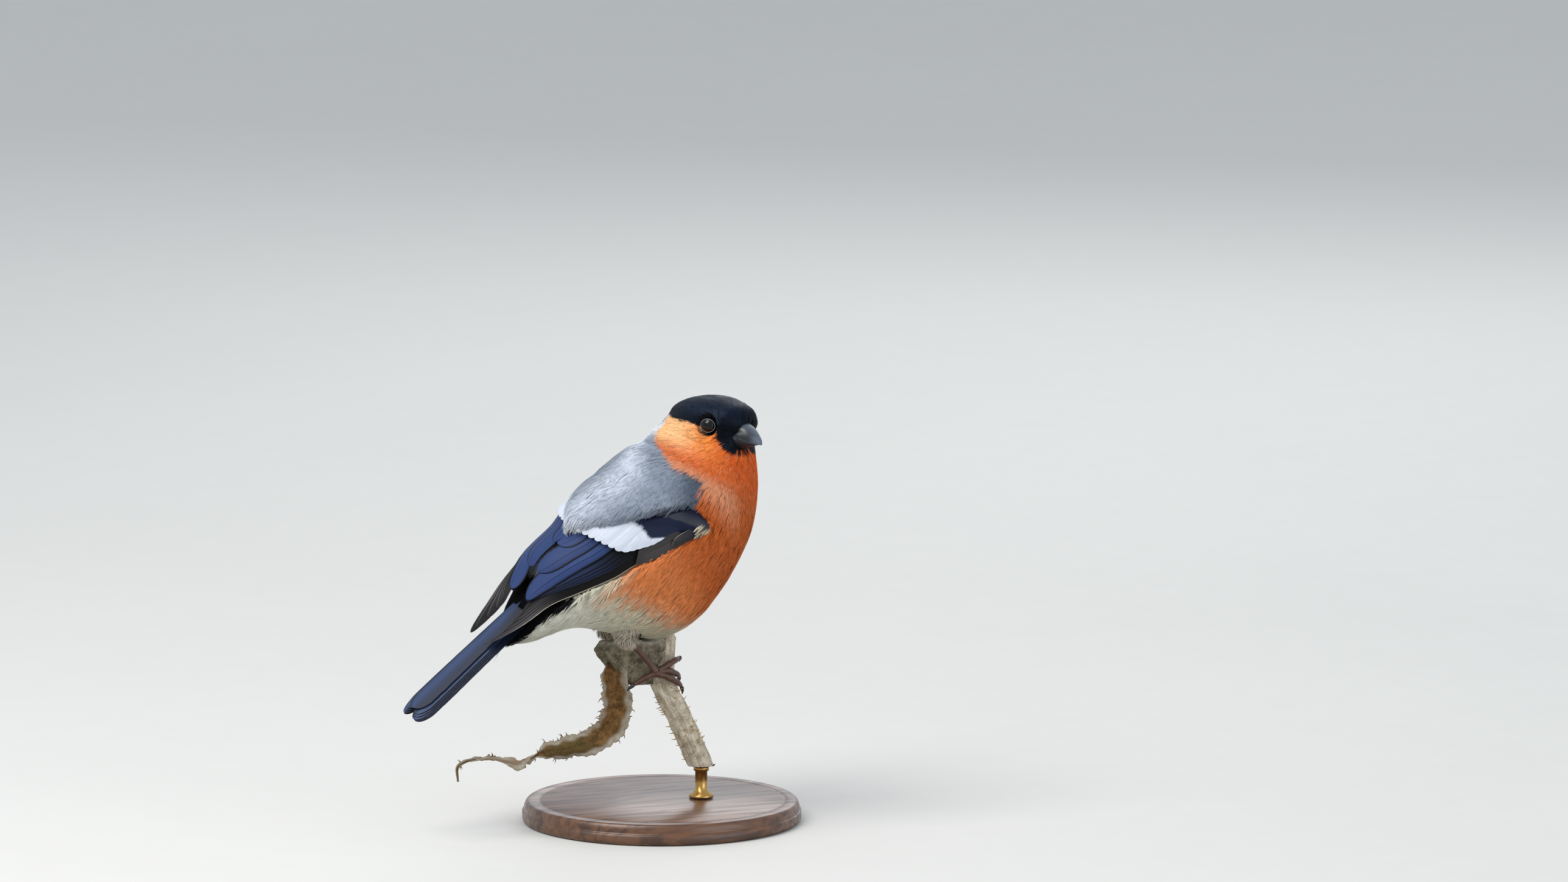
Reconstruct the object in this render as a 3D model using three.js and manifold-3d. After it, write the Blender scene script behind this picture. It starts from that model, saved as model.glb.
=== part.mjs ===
// A male Eurasian bullfinch at life size, perched on a cut length of dry teasel stem over a plain display stand.
// Millimetres, +Z up. +X is the way the body heads, +Y is the bird's left, and the origin is the middle of the
// base's underside. The body's own frame has its origin in the middle of the torso, x along the back towards the
// head, y to the left and z towards the back; it is pitched up by BODY_PITCH, and the trunk, wings and tail are
// rolled about the spine by BODY_ROLL, left side up. The level frame shares that origin but stands upright, and
// holds the feet, the perch and the rod.

import * as THREE from 'three';
import { mergeVertices } from 'three/addons/utils/BufferGeometryUtils.js';
import Module from 'manifold-3d';

const wasm = await Module();
wasm.setup();

const RAD = Math.PI / 180;
const GAP = 0.3;

// Driving sizes
const BODY_PITCH = 38.6;
const BODY_ROLL = 16.5;
const BODY_CENTRE = [-5, 0, 92];
const HEAD_TURN = 66.5;
const WING_LENGTH = 83.3;
const TAIL_LENGTH = 65;
const TAIL_HALF_WIDTH = 7.0;
const EYE_RADIUS = 3.0;
const BILL_LENGTH = 12.3;
const STEM_RADIUS = 3.9;
const TARSUS_RADIUS = 0.95;
const BASE_RADIUS = 46;
const BASE_HEIGHT = 7;
const ROD_RADIUS = 2;

// Colours
const COLOUR = {
  cap: 0x10121a, mantle: 0x8b929c, breast: 0xc85a2a, rump: 0xe6e4da, wing: 0x20243a, coverts: 0x7c838d,
  tail: 0x1a2036, bill: 0x23252a, eye: 0x120d0b, leg: 0x4a2c20, stem: 0xb9ab93, bark: 0x8a8072,
  leaf: 0x9a8468, wood: 0x6b4a2f, brass: 0xb08d4f,
};

// Tables and vectors

// A row of values at t, by cubic Hermite curves through the rows of a table whose first column is t.
function along(table, t) {
  const last = table.length - 1;
  let i = 0;
  while (i < last - 1 && t > table[i + 1][0]) i += 1;
  const slope = (k, c) => {
    const a = Math.max(k - 1, 0);
    const b = Math.min(k + 1, last);
    return (table[b][c] - table[a][c]) / (table[b][0] - table[a][0]);
  };
  const span = table[i + 1][0] - table[i][0];
  const s = (t - table[i][0]) / span;
  return table[i].slice(1).map((_, k) => {
    const c = k + 1;
    return (2 * s ** 3 - 3 * s ** 2 + 1) * table[i][c] + (s ** 3 - 2 * s ** 2 + s) * span * slope(i, c)
      + (-2 * s ** 3 + 3 * s ** 2) * table[i + 1][c] + (s ** 3 - s ** 2) * span * slope(i + 1, c);
  });
}

const vec = (p) => new THREE.Vector3(...p);
const mix = (a, b, s) => a + (b - a) * s;
const steps = (from, to, count) => Array.from({ length: count + 1 }, (_, i) => mix(from, to, i / count));

// The body's frame pitches about y: one turn carries its points to the level frame, the other carries them back.
const PITCH_TURN = new THREE.Matrix4().makeRotationY(-BODY_PITCH * RAD);
const LEVEL_TURN = new THREE.Matrix4().makeRotationY(BODY_PITCH * RAD);

// Solids

function geometryOf(points, faces) {
  const geometry = new THREE.BufferGeometry();
  const values = points.flatMap((p) => [p.x, p.y, p.z]);
  geometry.setAttribute('position', new THREE.Float32BufferAttribute(values, 3));
  geometry.setIndex(faces.flat());
  return geometry;
}

// Six times the volume inside a closed mesh, which is negative where the faces point in.
function signedVolume(points, faces) {
  return faces.reduce((sum, [a, b, c]) => sum + points[a].dot(points[b].clone().cross(points[c])), 0);
}

// A closed skin over rings of points, with a fan over each end.
function skinOver(rings) {
  const n = rings[0].length;
  const points = rings.flat();
  const middle = (ring) => ring.reduce((sum, p) => sum.add(p), new THREE.Vector3()).divideScalar(n);
  points.push(middle(rings[0]), middle(rings[rings.length - 1]));
  const first = points.length - 2;
  const faces = [];
  for (let j = 0; j < n; j += 1) {
    const k = (j + 1) % n;
    for (let i = 0; i < rings.length - 1; i += 1) {
      const a = i * n + j;
      const b = i * n + k;
      faces.push([a, b, b + n], [a, b + n, a + n]);
    }
    const end = (rings.length - 1) * n;
    faces.push([first, k, j], [first + 1, end + j, end + k]);
  }
  if (signedVolume(points, faces) < 0) faces.forEach((face) => face.reverse());
  return geometryOf(points, faces);
}

// A closed plate between two grids of points that are split into triangles alike.
function plate(upper, lower) {
  const rows = upper.length;
  const columns = upper[0].length;
  const points = [...upper.flat(), ...lower.flat()];
  const below = rows * columns;
  const faces = [];
  for (let i = 0; i < rows - 1; i += 1) {
    for (let j = 0; j < columns - 1; j += 1) {
      const a = i * columns + j;
      const b = a + columns;
      faces.push([a, a + 1, b + 1], [a, b + 1, b]);
      faces.push([below + a, below + b + 1, below + a + 1], [below + a, below + b, below + b + 1]);
    }
  }
  const rim = [];
  for (let j = 0; j < columns - 1; j += 1) rim.push(j);
  for (let i = 0; i < rows - 1; i += 1) rim.push(i * columns + columns - 1);
  for (let j = columns - 1; j > 0; j -= 1) rim.push((rows - 1) * columns + j);
  for (let i = rows - 1; i > 0; i -= 1) rim.push(i * columns);
  rim.forEach((a, i) => {
    const b = rim[(i + 1) % rim.length];
    faces.push([a, below + a, below + b], [a, below + b, b]);
  });
  if (signedVolume(points, faces) < 0) faces.forEach((face) => face.reverse());
  return geometryOf(points, faces);
}

// A rod of changing radius along a smooth path, round or with ribs along it.
function rodAlong(path, radii, sides, count, ribs = 0) {
  const curve = new THREE.CatmullRomCurve3(path.map(vec), false, 'centripetal');
  const frames = curve.computeFrenetFrames(count, false);
  const rings = steps(0, 1, count).map((s, i) => {
    const centre = curve.getPointAt(s);
    const at = s * (radii.length - 1);
    const low = Math.min(Math.floor(at), radii.length - 2);
    const middle = mix(radii[low], radii[low + 1], at - low);
    return Array.from({ length: sides }, (_, j) => {
      const angle = (j / sides) * 2 * Math.PI;
      const radius = middle * (ribs ? 1 + 0.05 * Math.cos(ribs * angle) : 1);
      return centre.clone().addScaledVector(frames.normals[i], radius * Math.cos(angle))
        .addScaledVector(frames.binormals[i], radius * Math.sin(angle));
    });
  });
  return skinOver(rings);
}

// Joins and cuts

function solidOf(geometry) {
  const bare = geometry.clone();
  bare.deleteAttribute('normal');
  bare.deleteAttribute('uv');
  const merged = mergeVertices(bare, 1e-4);
  return new wasm.Manifold(new wasm.Mesh({
    numProp: 3,
    vertProperties: new Float32Array(merged.attributes.position.array),
    triVerts: new Uint32Array(merged.index.array),
  }));
}

// The largest closed surface of a solid, as a geometry.
function geometryFrom(solid) {
  const parts = solid.decompose().sort((a, b) => b.volume() - a.volume());
  const mesh = parts[0].getMesh();
  const geometry = new THREE.BufferGeometry();
  geometry.setAttribute('position', new THREE.Float32BufferAttribute(Array.from(mesh.vertProperties), 3));
  geometry.setIndex(Array.from(mesh.triVerts));
  return geometry;
}

const joined = (geometries) => geometries.map(solidOf).reduce((all, piece) => all.add(piece));

// Body: one profile carried along the spine, from under the tail to the crown.
// Each row is a section: its number, the spine's point, the pitch of the section's axis over the back's line, the
// turn of its front about that axis, its reach to the front (the belly's side), back and each flank, and the
// exponent of its outline (2 is an ellipse).
const SECTIONS = [
  [0, -56.5, 0, 10.2, 0, -BODY_ROLL, 1.6, 1.5, 3.5, 2],
  [1, -51, 0, 10.5, 0, -BODY_ROLL, 5.4, 4.6, 8, 2],
  [2, -44, 0, 10.5, 0, -BODY_ROLL, 8, 7.2, 11.5, 2],
  [3, -36, 0, 9.5, 0, -BODY_ROLL, 11.5, 10.4, 15, 2.05],
  [4, -27, 0, 6, 0, -BODY_ROLL, 19.8, 17.2, 19.4, 2.1],
  [5, -18, 0, 3, 0, -BODY_ROLL, 28.2, 23.2, 22.8, 2.15],
  [6, -10, 0, 2, 0, -BODY_ROLL, 30.8, 26.2, 24.8, 2.2],
  [7, -2, 0, 2, 0, -BODY_ROLL, 31.8, 27.2, 25.6, 2.2],
  [8, 6, 0, 2, 0, -15, 30, 27.4, 25.6, 2.2],
  [9, 14, -0.2, 2.6, 3, -9, 27.6, 26.8, 24.6, 2.15],
  [10, 23, -0.8, 5.2, 13, 4, 24.8, 24.2, 21.8, 2.1],
  [11, 31, -1.7, 9, 27, 23, 20, 20.8, 18.4, 2.05],
  [12, 36.5, -2.6, 12.2, 38, 42, 15.8, 20.2, 15.2, 2.05],
  [13, 40.2, -3.3, 14.6, 46, 56, 13.2, 20.6, 12.8, 2.1],
  [14, 43.4, -3.7, 17.4, 51.4, HEAD_TURN, 13, 19.5, 11.2, 2.15],
  [15, 46.0, -3.7, 20.6, 51.4, HEAD_TURN, 11.8, 16.2, 10, 2.1],
  [16, 47.5, -3.7, 22.5, 51.4, HEAD_TURN, 8.8, 11.6, 7.7, 2.05],
  [17, 48.4, -3.7, 23.6, 51.4, HEAD_TURN, 4.8, 6.2, 4.6, 2],
  [18, 48.65, -3.7, 23.9, 51.4, HEAD_TURN, 1.4, 2, 1.4, 2],
];
const CUT = { rump: 3.1, torso: 9.4, neck: 12.6, crown: 18, tip: 0 };

// The section's axes: along the spine, to the front and to the left.
function sectionAxes(pitch, turn) {
  const spine = new THREE.Vector3(Math.cos(pitch * RAD), 0, Math.sin(pitch * RAD));
  const front = new THREE.Vector3(Math.sin(pitch * RAD), 0, -Math.cos(pitch * RAD));
  front.applyAxisAngle(spine, -turn * RAD);
  return { spine, front, left: new THREE.Vector3().crossVectors(spine, front) };
}

// A point of the body's surface: u is the section's number, angle runs round it from the front by the left.
function bodyPoint(u, angle, grow = 0) {
  const [x, y, z, pitch, turn, reachFront, reachBack, reachSide, power] = along(SECTIONS, u);
  const { front, left } = sectionAxes(pitch, turn);
  const c = Math.cos(angle);
  const s = Math.sin(angle);
  const reach = (c > 0 ? reachFront : reachBack) + grow;
  return new THREE.Vector3(x, y, z)
    .addScaledVector(front, reach * Math.sign(c) * Math.abs(c) ** (2 / power))
    .addScaledVector(left, (reachSide + grow) * Math.sign(s) * Math.abs(s) ** (2 / power));
}

// A length of the body between two sections, cut square at both.
function bodyLength(from, to, rows, sides, grow = 0) {
  const ring = (u) => Array.from({ length: sides }, (_, j) => bodyPoint(u, (j / sides) * 2 * Math.PI, grow));
  return skinOver(steps(from, to, rows).map(ring));
}

// How far in section numbers a gap is at u.
function gapInSections(u) {
  const here = along(SECTIONS, u);
  const next = along(SECTIONS, u + 0.1);
  return (0.1 * GAP) / Math.hypot(next[0] - here[0], next[1] - here[1], next[2] - here[2]);
}

// Head: its own axes are forward along the bill, left and up; its origin lies midway between the eyes.
const HEAD_AXES = sectionAxes(51.4, HEAD_TURN);
const EYE_LINE = 4.0;
const headMatrix = new THREE.Matrix4().makeBasis(HEAD_AXES.front, HEAD_AXES.left, HEAD_AXES.spine)
  .setPosition(vec(along(SECTIONS, 14).slice(0, 3)).addScaledVector(HEAD_AXES.front, EYE_LINE));
const inHead = (p) => vec(p).applyMatrix4(headMatrix);

// Bill: sections along its length give the middle height, the reach up and down and the half width.
const BILL = [
  [0, 2.5, -3.6, 5.6, 5.2, 5.0],
  [3, 5.5, -3.5, 5.3, 4.8, 4.9],
  [5, 7.5, -3.5, 5.0, 4.4, 4.6],
  [7, 9.5, -3.5, 4.5, 3.8, 4.1],
  [9, 11.7, -3.7, 3.6, 2.9, 3.3],
  [11, 14, -4.2, 2.2, 1.7, 2.1],
  [12, 15.5, -4.7, 1.1, 0.7, 1.2],
  [BILL_LENGTH, 16.2, -5.2, 0.4, 0.35, 0.5],
];
// The line of the mouth, forward and up, from inside the head to past the tip.
const MOUTH = [[-4, -3.0], [3.5, -3.9], [6, -3.6], [9, -4.0], [12, -4.9], [14.8, -6.0], [19, -8.2]];

// The nostril's pit, in the side of the upper half.
const NOSTRIL_RADIUS = 0.7;
const nostrilAt = (side) => inHead([8.6, side * 3.4, 0.4]);

function billWhole(grow) {
  const sides = 16;
  const ring = (t) => {
    const [forward, height, up, down, half] = along(BILL, t);
    return Array.from({ length: sides }, (_, j) => {
      const angle = (j / sides) * 2 * Math.PI;
      const rise = Math.sin(angle) > 0 ? up : down;
      return inHead([forward, (half + grow) * Math.cos(angle), height + (rise + grow) * Math.sin(angle)]);
    });
  };
  return skinOver(steps(0, BILL_LENGTH, 10).map(ring));
}

// Everything above the mouth line, or below it, as a wide slab.
function mouthSide(above) {
  const edge = MOUTH.map(([forward, height]) => [forward, height + (above ? GAP / 2 : -GAP / 2)]);
  const far = above ? 20 : -20;
  const upper = edge.map(([f, h]) => [f, above ? far : h]);
  const lower = edge.map(([f, h]) => [f, above ? h : far]);
  const row = (side) => (line) => line.map(([f, h]) => inHead([f, side, h]));
  return plate([row(-12)(upper), row(12)(upper)], [row(-12)(lower), row(12)(lower)]);
}

// Eye: the ball's middle, and the way it looks, for one side (1 is left).
const EYE_OUT = 7.3;
const eyeCentre = (side) => inHead([0, side * EYE_OUT, 0.2]);
function eyeAxis(side) {
  const looks = new THREE.Vector3(Math.sin(20 * RAD), side * Math.cos(20 * RAD), 0.06);
  return looks.transformDirection(headMatrix);
}

function ball(centre, radius, wide = 18, high = 12) {
  return new THREE.SphereGeometry(radius, wide, high).translate(centre.x, centre.y, centre.z);
}

// The lids as one soft ring round the ball's face.
function lidRing(side) {
  const axis = eyeAxis(side);
  const face = 1.75;
  const tube = 0.42;
  const around = Math.sqrt(EYE_RADIUS ** 2 - face ** 2) + GAP + tube;
  const ring = new THREE.TorusGeometry(around, tube, 6, 20);
  const turn = new THREE.Quaternion().setFromUnitVectors(new THREE.Vector3(0, 0, 1), axis);
  const at = eyeCentre(side).addScaledVector(axis, face);
  return ring.applyQuaternion(turn).translate(at.x, at.y, at.z);
}

// Wings: a map over the folded wing. p runs from the bend to the tip along the lower edge, q across from that edge
// up over the flank, and h out from the surface. Each row gives p, the edge's point on the right wing, the lean of
// the surface there and the radius of its curve.
const WING = [
  [-4, 17.8, -22.0, -1.2, 6, 26],
  [0, 14.0, -24.0, 0.0, 4, 25],
  [14.5, 0.1, -25.0, 3.8, 2, 25],
  [28.0, -12.9, -24.0, 7.4, 6, 24],
  [34.9, -19.4, -22.0, 8.3, 10, 24],
  [47.4, -30.9, -18.0, 11.6, 17, 24],
  [58.2, -40.6, -14.0, 14.4, 33, 26],
  [68.0, -50.0, -11.5, 15.6, 60, 32],
  [77.5, -59.2, -9.5, 17.3, 80, 44],
  [WING_LENGTH, -64.6, -8.0, 18.4, 84, 60],
];
// The left wing rides higher on the raised flank and lies flatter: for each p, the extra lean and the lift.
const LEFT_WING = [
  [-4, 0, 0], [14, 0, 0], [30, 9, 2.5], [47.4, 10, 3.2], [58.2, 22, 3.7], [68, 30, 4.3], [WING_LENGTH, 30, 4.4],
];

// A point carried to the other flank: mirrored over the rolled plane that holds the spine.
const FLANK_AXIS = new THREE.Vector3(0, Math.cos(BODY_ROLL * RAD), Math.sin(BODY_ROLL * RAD));
const SPINE_HEIGHT = SECTIONS.slice(0, 13).map(([, x, , z]) => [x, z]);

const PRESS = 0.003;

function onOtherFlank(point) {
  const x = Math.max(point.x, SPINE_HEIGHT[0][0]);
  const reach = point.y * FLANK_AXIS.y + (point.z - along(SPINE_HEIGHT, x)[0]) * FLANK_AXIS.z;
  return point.addScaledVector(FLANK_AXIS, -2 * reach);
}

// The wings meet in a seam on that plane. What would cross it is pressed flat against it, or against a plane that
// lies as far past it as is asked.
function wingPoint(side, p, q, height, past = 0) {
  const [x, y, z, ownLean, radius] = along(WING, p);
  const [extraLean, lift] = side < 0 ? [0, 0] : along(LEFT_WING, p);
  const a = (ownLean + extraLean) * RAD;
  const h = height + lift;
  const spine = along(SPINE_HEIGHT, Math.max(x, SPINE_HEIGHT[0][0]))[0];
  const middle = (y + radius * Math.cos(a)) * FLANK_AXIS.y + (z - radius * Math.sin(a) - spine) * FLANK_AXIS.z;
  const level = (middle + GAP / 2 - past) / (radius + h);
  const seam = Math.acos(Math.max(-1, Math.min(level, 1))) - BODY_ROLL * RAD;
  const free = a + q / radius;
  const b = Math.min(free, mix(seam, free, PRESS));
  const across = y + radius * (Math.cos(a) - Math.cos(b)) - h * Math.cos(b);
  const point = new THREE.Vector3(x, across, z + radius * (Math.sin(b) - Math.sin(a)) + h * Math.sin(b));
  return side < 0 ? point : onOtherFlank(point);
}

// A feather's half width from root to tip, as a share of its widest.
function featherOutline(s, roundFrom) {
  const swell = 0.72 + 0.28 * Math.sin(Math.min(s / 0.6, 1) * Math.PI * 0.5);
  const round = s > roundFrom ? Math.sqrt(Math.max(1 - ((s - roundFrom) / (1 - roundFrom)) ** 2, 0)) : 1;
  return swell * Math.max(round, 0.14);
}

// One feather on a wing. Root and tip are the p and q of its lower edge, level is the depth of that edge under the
// wing's surface, and dip how much deeper each millimetre across lies, under the feather above.
function wingFeather(side, { root, tip, width, level, dip, thick, bow = 0, rows = 5, columns = 1 }) {
  const at = (s, c, depth) => {
    const half = (width / 2) * featherOutline(s, 0.72);
    const across = width / 2 + c * half;
    const p = mix(root[0], tip[0], s) - 0.12 * across * s;
    const q = mix(root[1], tip[1], s) + across + bow * Math.sin(s * Math.PI);
    return wingPoint(side, p, q, level - dip * across - depth);
  };
  const stations = steps(0, 1, rows).map((s) => 1 - (1 - s) ** 1.35);
  const grid = (depth) => stations.map((s) => steps(-1, 1, columns).map((c) => at(s, c, depth(s))));
  return plate(grid(() => 0), grid((s) => thick * (1 - 0.35 * s ** 4)));
}

// The flight feathers: primaries from the lowest edge up, then secondaries, then tertials on top.
const FEATHER_THICK = 0.6;
const FEATHER_STEP = 0.13;
const TERTIAL = { columns: 2, dip: 0.04, thick: 0.75 };
const FLIGHT = [
  ...[[79.5, 0.1], [82.2, 0.2], [WING_LENGTH, 0.3], [80.4, 0.8], [75.0, 1.7], [70.4, 2.5], [66.6, 3.0]]
    .map((tip, i) => ({ root: [13 + i * 1.9, 0.1 + 0.55 * i], tip, width: 3.5, rows: 4 })),
  ...[[61.4, 3.0], [62.2, 3.3], [62.7, 3.7], [62.6, 4.2]]
    .map((tip, i) => ({ root: [16 + i * 3.4, 3.0 + 1.3 * i], tip, width: 6.0 })),
  { root: [27, 8.4], tip: [62.6, 2.6], width: 8.4, bow: 1.6, ...TERTIAL },
  { root: [29, 12.6], tip: [53.0, 9.3], width: 9.2, bow: 1.2, ...TERTIAL },
  { root: [29, 17.5], tip: [41.0, 17.2], width: 8.0, rows: 4, ...TERTIAL },
].map((feather, i, all) => ({
  thick: FEATHER_THICK, dip: 0.2, ...feather, level: -0.5 - FEATHER_STEP * (all.length - 1 - i),
}));

// The arm: a pad from the bend back to the edge where the flight feathers come out, and up to the mantle. Each row
// gives, for a share of its width, the p of its rear edge.
const ARM_FRONT = -2.4;
const ARM_REAR = [[0, 10.5], [0.16, 15], [0.32, 20], [0.52, 25.5], [0.72, 29], [1, 33]];
const ARM_TOP = [13, 20.5];
const ARM_THICK = 4.2;
const ARM_LIFT = 2.6;

function armPad(side, { rear = 0, room = 0, rim = 0 }) {
  const rows = 8;
  const columns = 7;
  const grid = (upper) => steps(0, 1, rows).map((s) => steps(0, 1, columns).map((c) => {
    const q = c * mix(ARM_TOP[0], ARM_TOP[1], s) + rim * (2 * c - 1);
    const p = mix(ARM_FRONT - rim, along(ARM_REAR, c)[0] + rear, s);
    const front = Math.min(s / 0.2, 1);
    const low = Math.min(c / 0.3, 1);
    const rise = Math.sqrt(front * (2 - front)) * Math.sqrt(low * (2 - low)) * (1 - 0.6 * s ** 3);
    return wingPoint(side, p, q, upper ? room + rim + ARM_LIFT * rise : -ARM_THICK - rim);
  }));
  return plate(grid(true), grid(false));
}

// The room that the flight feathers take from the body: its upper edge is given as q for each p.
const FLIGHT_TOP = [
  [8, 17], [20, 19], [25, 26.5], [37, 30], [42, 29.5], [48, 26], [56, 20], [64, 15], [72, 9], [88, 6],
];
const FLIGHT_DEPTH = 6.3;

function flightPocket(side) {
  const grid = (h) => steps(9, 88, 14).map((p) => steps(-3 * GAP, along(FLIGHT_TOP, p)[0], 5).map((q) => (
    wingPoint(side, p, q, h, 2 * GAP)
  )));
  return plate(grid(14), grid(-FLIGHT_DEPTH));
}

// Greater coverts with their pale tips, the coverts of the primaries and the alula, rooted in the arm.
const COVERTS = [
  ...steps(0, 1, 7).map((s) => ({
    root: [mix(4, 20, s), mix(3.0, 14.6, s)],
    tip: [mix(17.5, 36.0, s), mix(3.4, 15.6, s)],
    width: 4.6,
    level: 0.4 + 0.9 * s,
  })),
  ...steps(0, 1, 3).map((s) => ({
    root: [mix(6, 9, s), mix(-0.2, 1.8, s)],
    tip: [mix(22, 27.4, s), mix(-0.1, 1.0, s)],
    width: 3.4,
    level: mix(0.0, 0.5, s),
  })),
  ...steps(0, 1, 2).map((s) => ({
    root: [mix(-0.5, 1.5, s), mix(0.4, 3.4, s)],
    tip: [mix(9, 14.5, s), mix(1.0, 3.0, s)],
    width: 3.8,
    level: mix(1.1, 2.2, s),
  })),
].map((feather) => ({ thick: 0.6, dip: 0.06, rows: 4, ...feather }));

// Tail: twelve feathers, the middle pair on top and each pair under it a little wider, all rolled about the spine.
// x runs back from the root.
const TAIL_ROOT = -33;
const TAIL_TOP = 16.8;
const TAIL_AXIS = 10.4;
const TAIL_STEP = 0.38;

function tailFeather(side, pair, grow = 0) {
  const lap = (pair === 0 ? 3.4 : 0.5) + grow;
  const tipReach = (pair === 0 ? 4.6 : mix(5.2, TAIL_HALF_WIDTH, pair / 5)) + grow;
  const rootReach = tipReach * 0.84;
  const length = TAIL_LENGTH - 2.6 * Math.max(0, 1 - pair / 3);
  const rank = pair === 0 && side < 0 ? 0 : pair + 1;
  const level = TAIL_TOP - TAIL_STEP * rank - (side > 0 ? 0.12 : 0) + grow;
  const thick = 0.58 + 2 * grow;
  const at = (s, c, depth) => {
    const reach = mix(rootReach, tipReach, Math.min(s * 1.25, 1));
    const round = s > 0.86 ? Math.sqrt(Math.max(1 - ((s - 0.86) / 0.14) ** 2, 0)) : 1;
    const middle = (reach - lap) / 2;
    const half = ((reach + lap) / 2) * Math.max(round, 0.12);
    const y = middle + c * half;
    const droop = 0.05 * Math.max(y, 0) + 0.012 * y * y;
    const rise = level - droop - 0.5 * s * s - depth - TAIL_AXIS;
    return new THREE.Vector3(
      TAIL_ROOT + grow - length * s,
      side * y * FLANK_AXIS.y - rise * FLANK_AXIS.z,
      TAIL_AXIS + side * y * FLANK_AXIS.z + rise * FLANK_AXIS.y,
    );
  };
  const stations = [0, 0.4, 0.86, 0.94, 0.98, 1];
  const grid = (depth) => stations.map((s) => steps(-1, 1, 2).map((c) => at(s, c, depth(s))));
  return plate(grid(() => 0), grid((s) => thick * (1 - 0.3 * s ** 6)));
}

// Legs and feet, in the level frame.
const THIGH_LENGTH = 7;
const THIGH_RADII = [5.0, 4.2, 2.6, 1.5];

// The right foot's toes are listed from the palm to the claw's tip.
const ANKLE = [-8.6, -8.2, -30.6];
const PALM = [0.2, -8.0, -41.0];
const TOES = [
  [[0.2, -8.0, -41.2], [3.4, -8.3, -42.4], [7.6, -7.0, -44.8], [10.4, -4.4, -47.2], [11.0, -3.0, -49.8]],
  [[0.4, -7.9, -40.6], [4.4, -7.6, -40.6], [8.2, -5.4, -42.4], [10.2, -2.6, -44.2], [9.8, -1.2, -46.6]],
  [[0.4, -7.9, -40.2], [4.0, -7.2, -38.8], [7.6, -5.6, -37.6], [10.4, -2.8, -37.4], [10.8, -1.0, -39.2]],
  [[0.0, -7.8, -41.0], [-2.4, -7.2, -41.8], [-5.2, -6.2, -43.4], [-7.6, -5.8, -44.8], [-9.8, -5.4, -46.8]],
];
const TOE_RADII = [1.15, 1.0, 0.95, 0.6, 0.18];
const LEFT_FOOT_SHIFT = [-1.2, 1.5, 1.2];
const FOOT_MIRROR = -0.8;

// A point of the right foot carried to the side asked for (1 is left).
function onSide(side, [x, y, z]) {
  if (side < 0) return [x, y, z];
  return [x + LEFT_FOOT_SHIFT[0], 2 * FOOT_MIRROR - y + LEFT_FOOT_SHIFT[1], z + LEFT_FOOT_SHIFT[2]];
}

function tarsusPath(side) {
  const ankle = side < 0 ? ANKLE : [ANKLE[0], -ANKLE[1], ANKLE[2]];
  return [ankle, onSide(side, PALM)];
}

// Perch, in the level frame: the stem's axis runs down through FOOT_LEVEL.
const STEM_TOP = [7.2, 3.4, -31.0];
const STEM_LOW = [19.0, -2.7, -77.0];
const STEM_CUT = -74;
const STEM_AXIS = [STEM_TOP, [5.0, -0.4, -38.5], [4.4, -2.7, -45.9], [9.9, -2.7, -56.9], STEM_LOW];
const CUP = [
  [-45.5, -1.2, -0.2, 6.8, 3.4],
  [-42, -2.0, 0.0, 9.0, 3.9],
  [-38, -3.6, 0.3, 11.6, 4.4],
  [-34, -4.4, 0.6, 13.0, 4.8],
  [-31.4, -4.6, 0.6, 12.6, 4.6],
];
const LEAF = [
  [-14.6, -0.5, -37.9], [-12.4, -0.5, -46.2], [-11.6, 0, -53.8], [-14, 0.5, -59.8], [-19.8, 1, -64],
  [-27.9, 1.5, -65.9], [-38, 2, -66.9], [-44.7, 2.5, -69.6], [-48.9, 3, -68.7], [-57.1, 3.5, -67.2],
  [-65.7, 4, -69.1], [-66, 4.2, -74.4],
];

function cupBody(grow = 0) {
  const sides = 18;
  const ring = (z) => {
    const [x, y, wide, deep] = along(CUP, z);
    return Array.from({ length: sides }, (_, j) => {
      const angle = (j / sides) * 2 * Math.PI;
      const ripple = 1 + 0.07 * Math.sin(5 * angle + 0.4) + 0.04 * Math.sin(9 * angle + z * 0.2);
      return new THREE.Vector3(
        x + (wide + grow) * ripple * Math.cos(angle), y + (deep + grow) * ripple * Math.sin(angle), z,
      );
    });
  };
  return skinOver(steps(-45.5, -31.4, 5).map(ring));
}

// The dead leaf: a ribbon that hangs from the cup and curls under, with a hollow along its middle.
function leafBody() {
  const curve = new THREE.CatmullRomCurve3(LEAF.map(vec), false, 'centripetal');
  const count = 18;
  const grid = (depth) => steps(0, 1, count).map((s) => {
    const centre = curve.getPointAt(s);
    const tangent = curve.getTangentAt(s);
    const across = new THREE.Vector3(0.28, 0.95, 0).cross(tangent).normalize();
    const out = new THREE.Vector3().crossVectors(tangent, across).normalize();
    const half = (4.6 - 1.8 * s) * Math.min(1, 0.55 + 3 * s) * Math.sqrt(Math.max(1 - s ** 6, 0.02));
    return steps(-1, 1, 3).map((c) => {
      const curl = -1.5 * c * c + 0.5 * Math.sin(9 * s + 2 * c);
      return centre.clone().addScaledVector(across, half * c).addScaledVector(out, curl - depth);
    });
  });
  return plate(grid(0), grid(0.9));
}

// Scene graph

const model = new THREE.Group();
const level = new THREE.Group();
level.position.set(...BODY_CENTRE);
const bird = new THREE.Group();
bird.rotation.y = -BODY_PITCH * RAD;
level.add(bird);
model.add(level);

function place(group, name, geometry, color, { roughness = 0.85, metalness = 0 } = {}) {
  const mesh = new THREE.Mesh(geometry, new THREE.MeshStandardMaterial({ color, roughness, metalness }));
  mesh.name = name;
  group.add(mesh);
}

const SIDES = [['right', -1], ['left', 1]];

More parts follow.
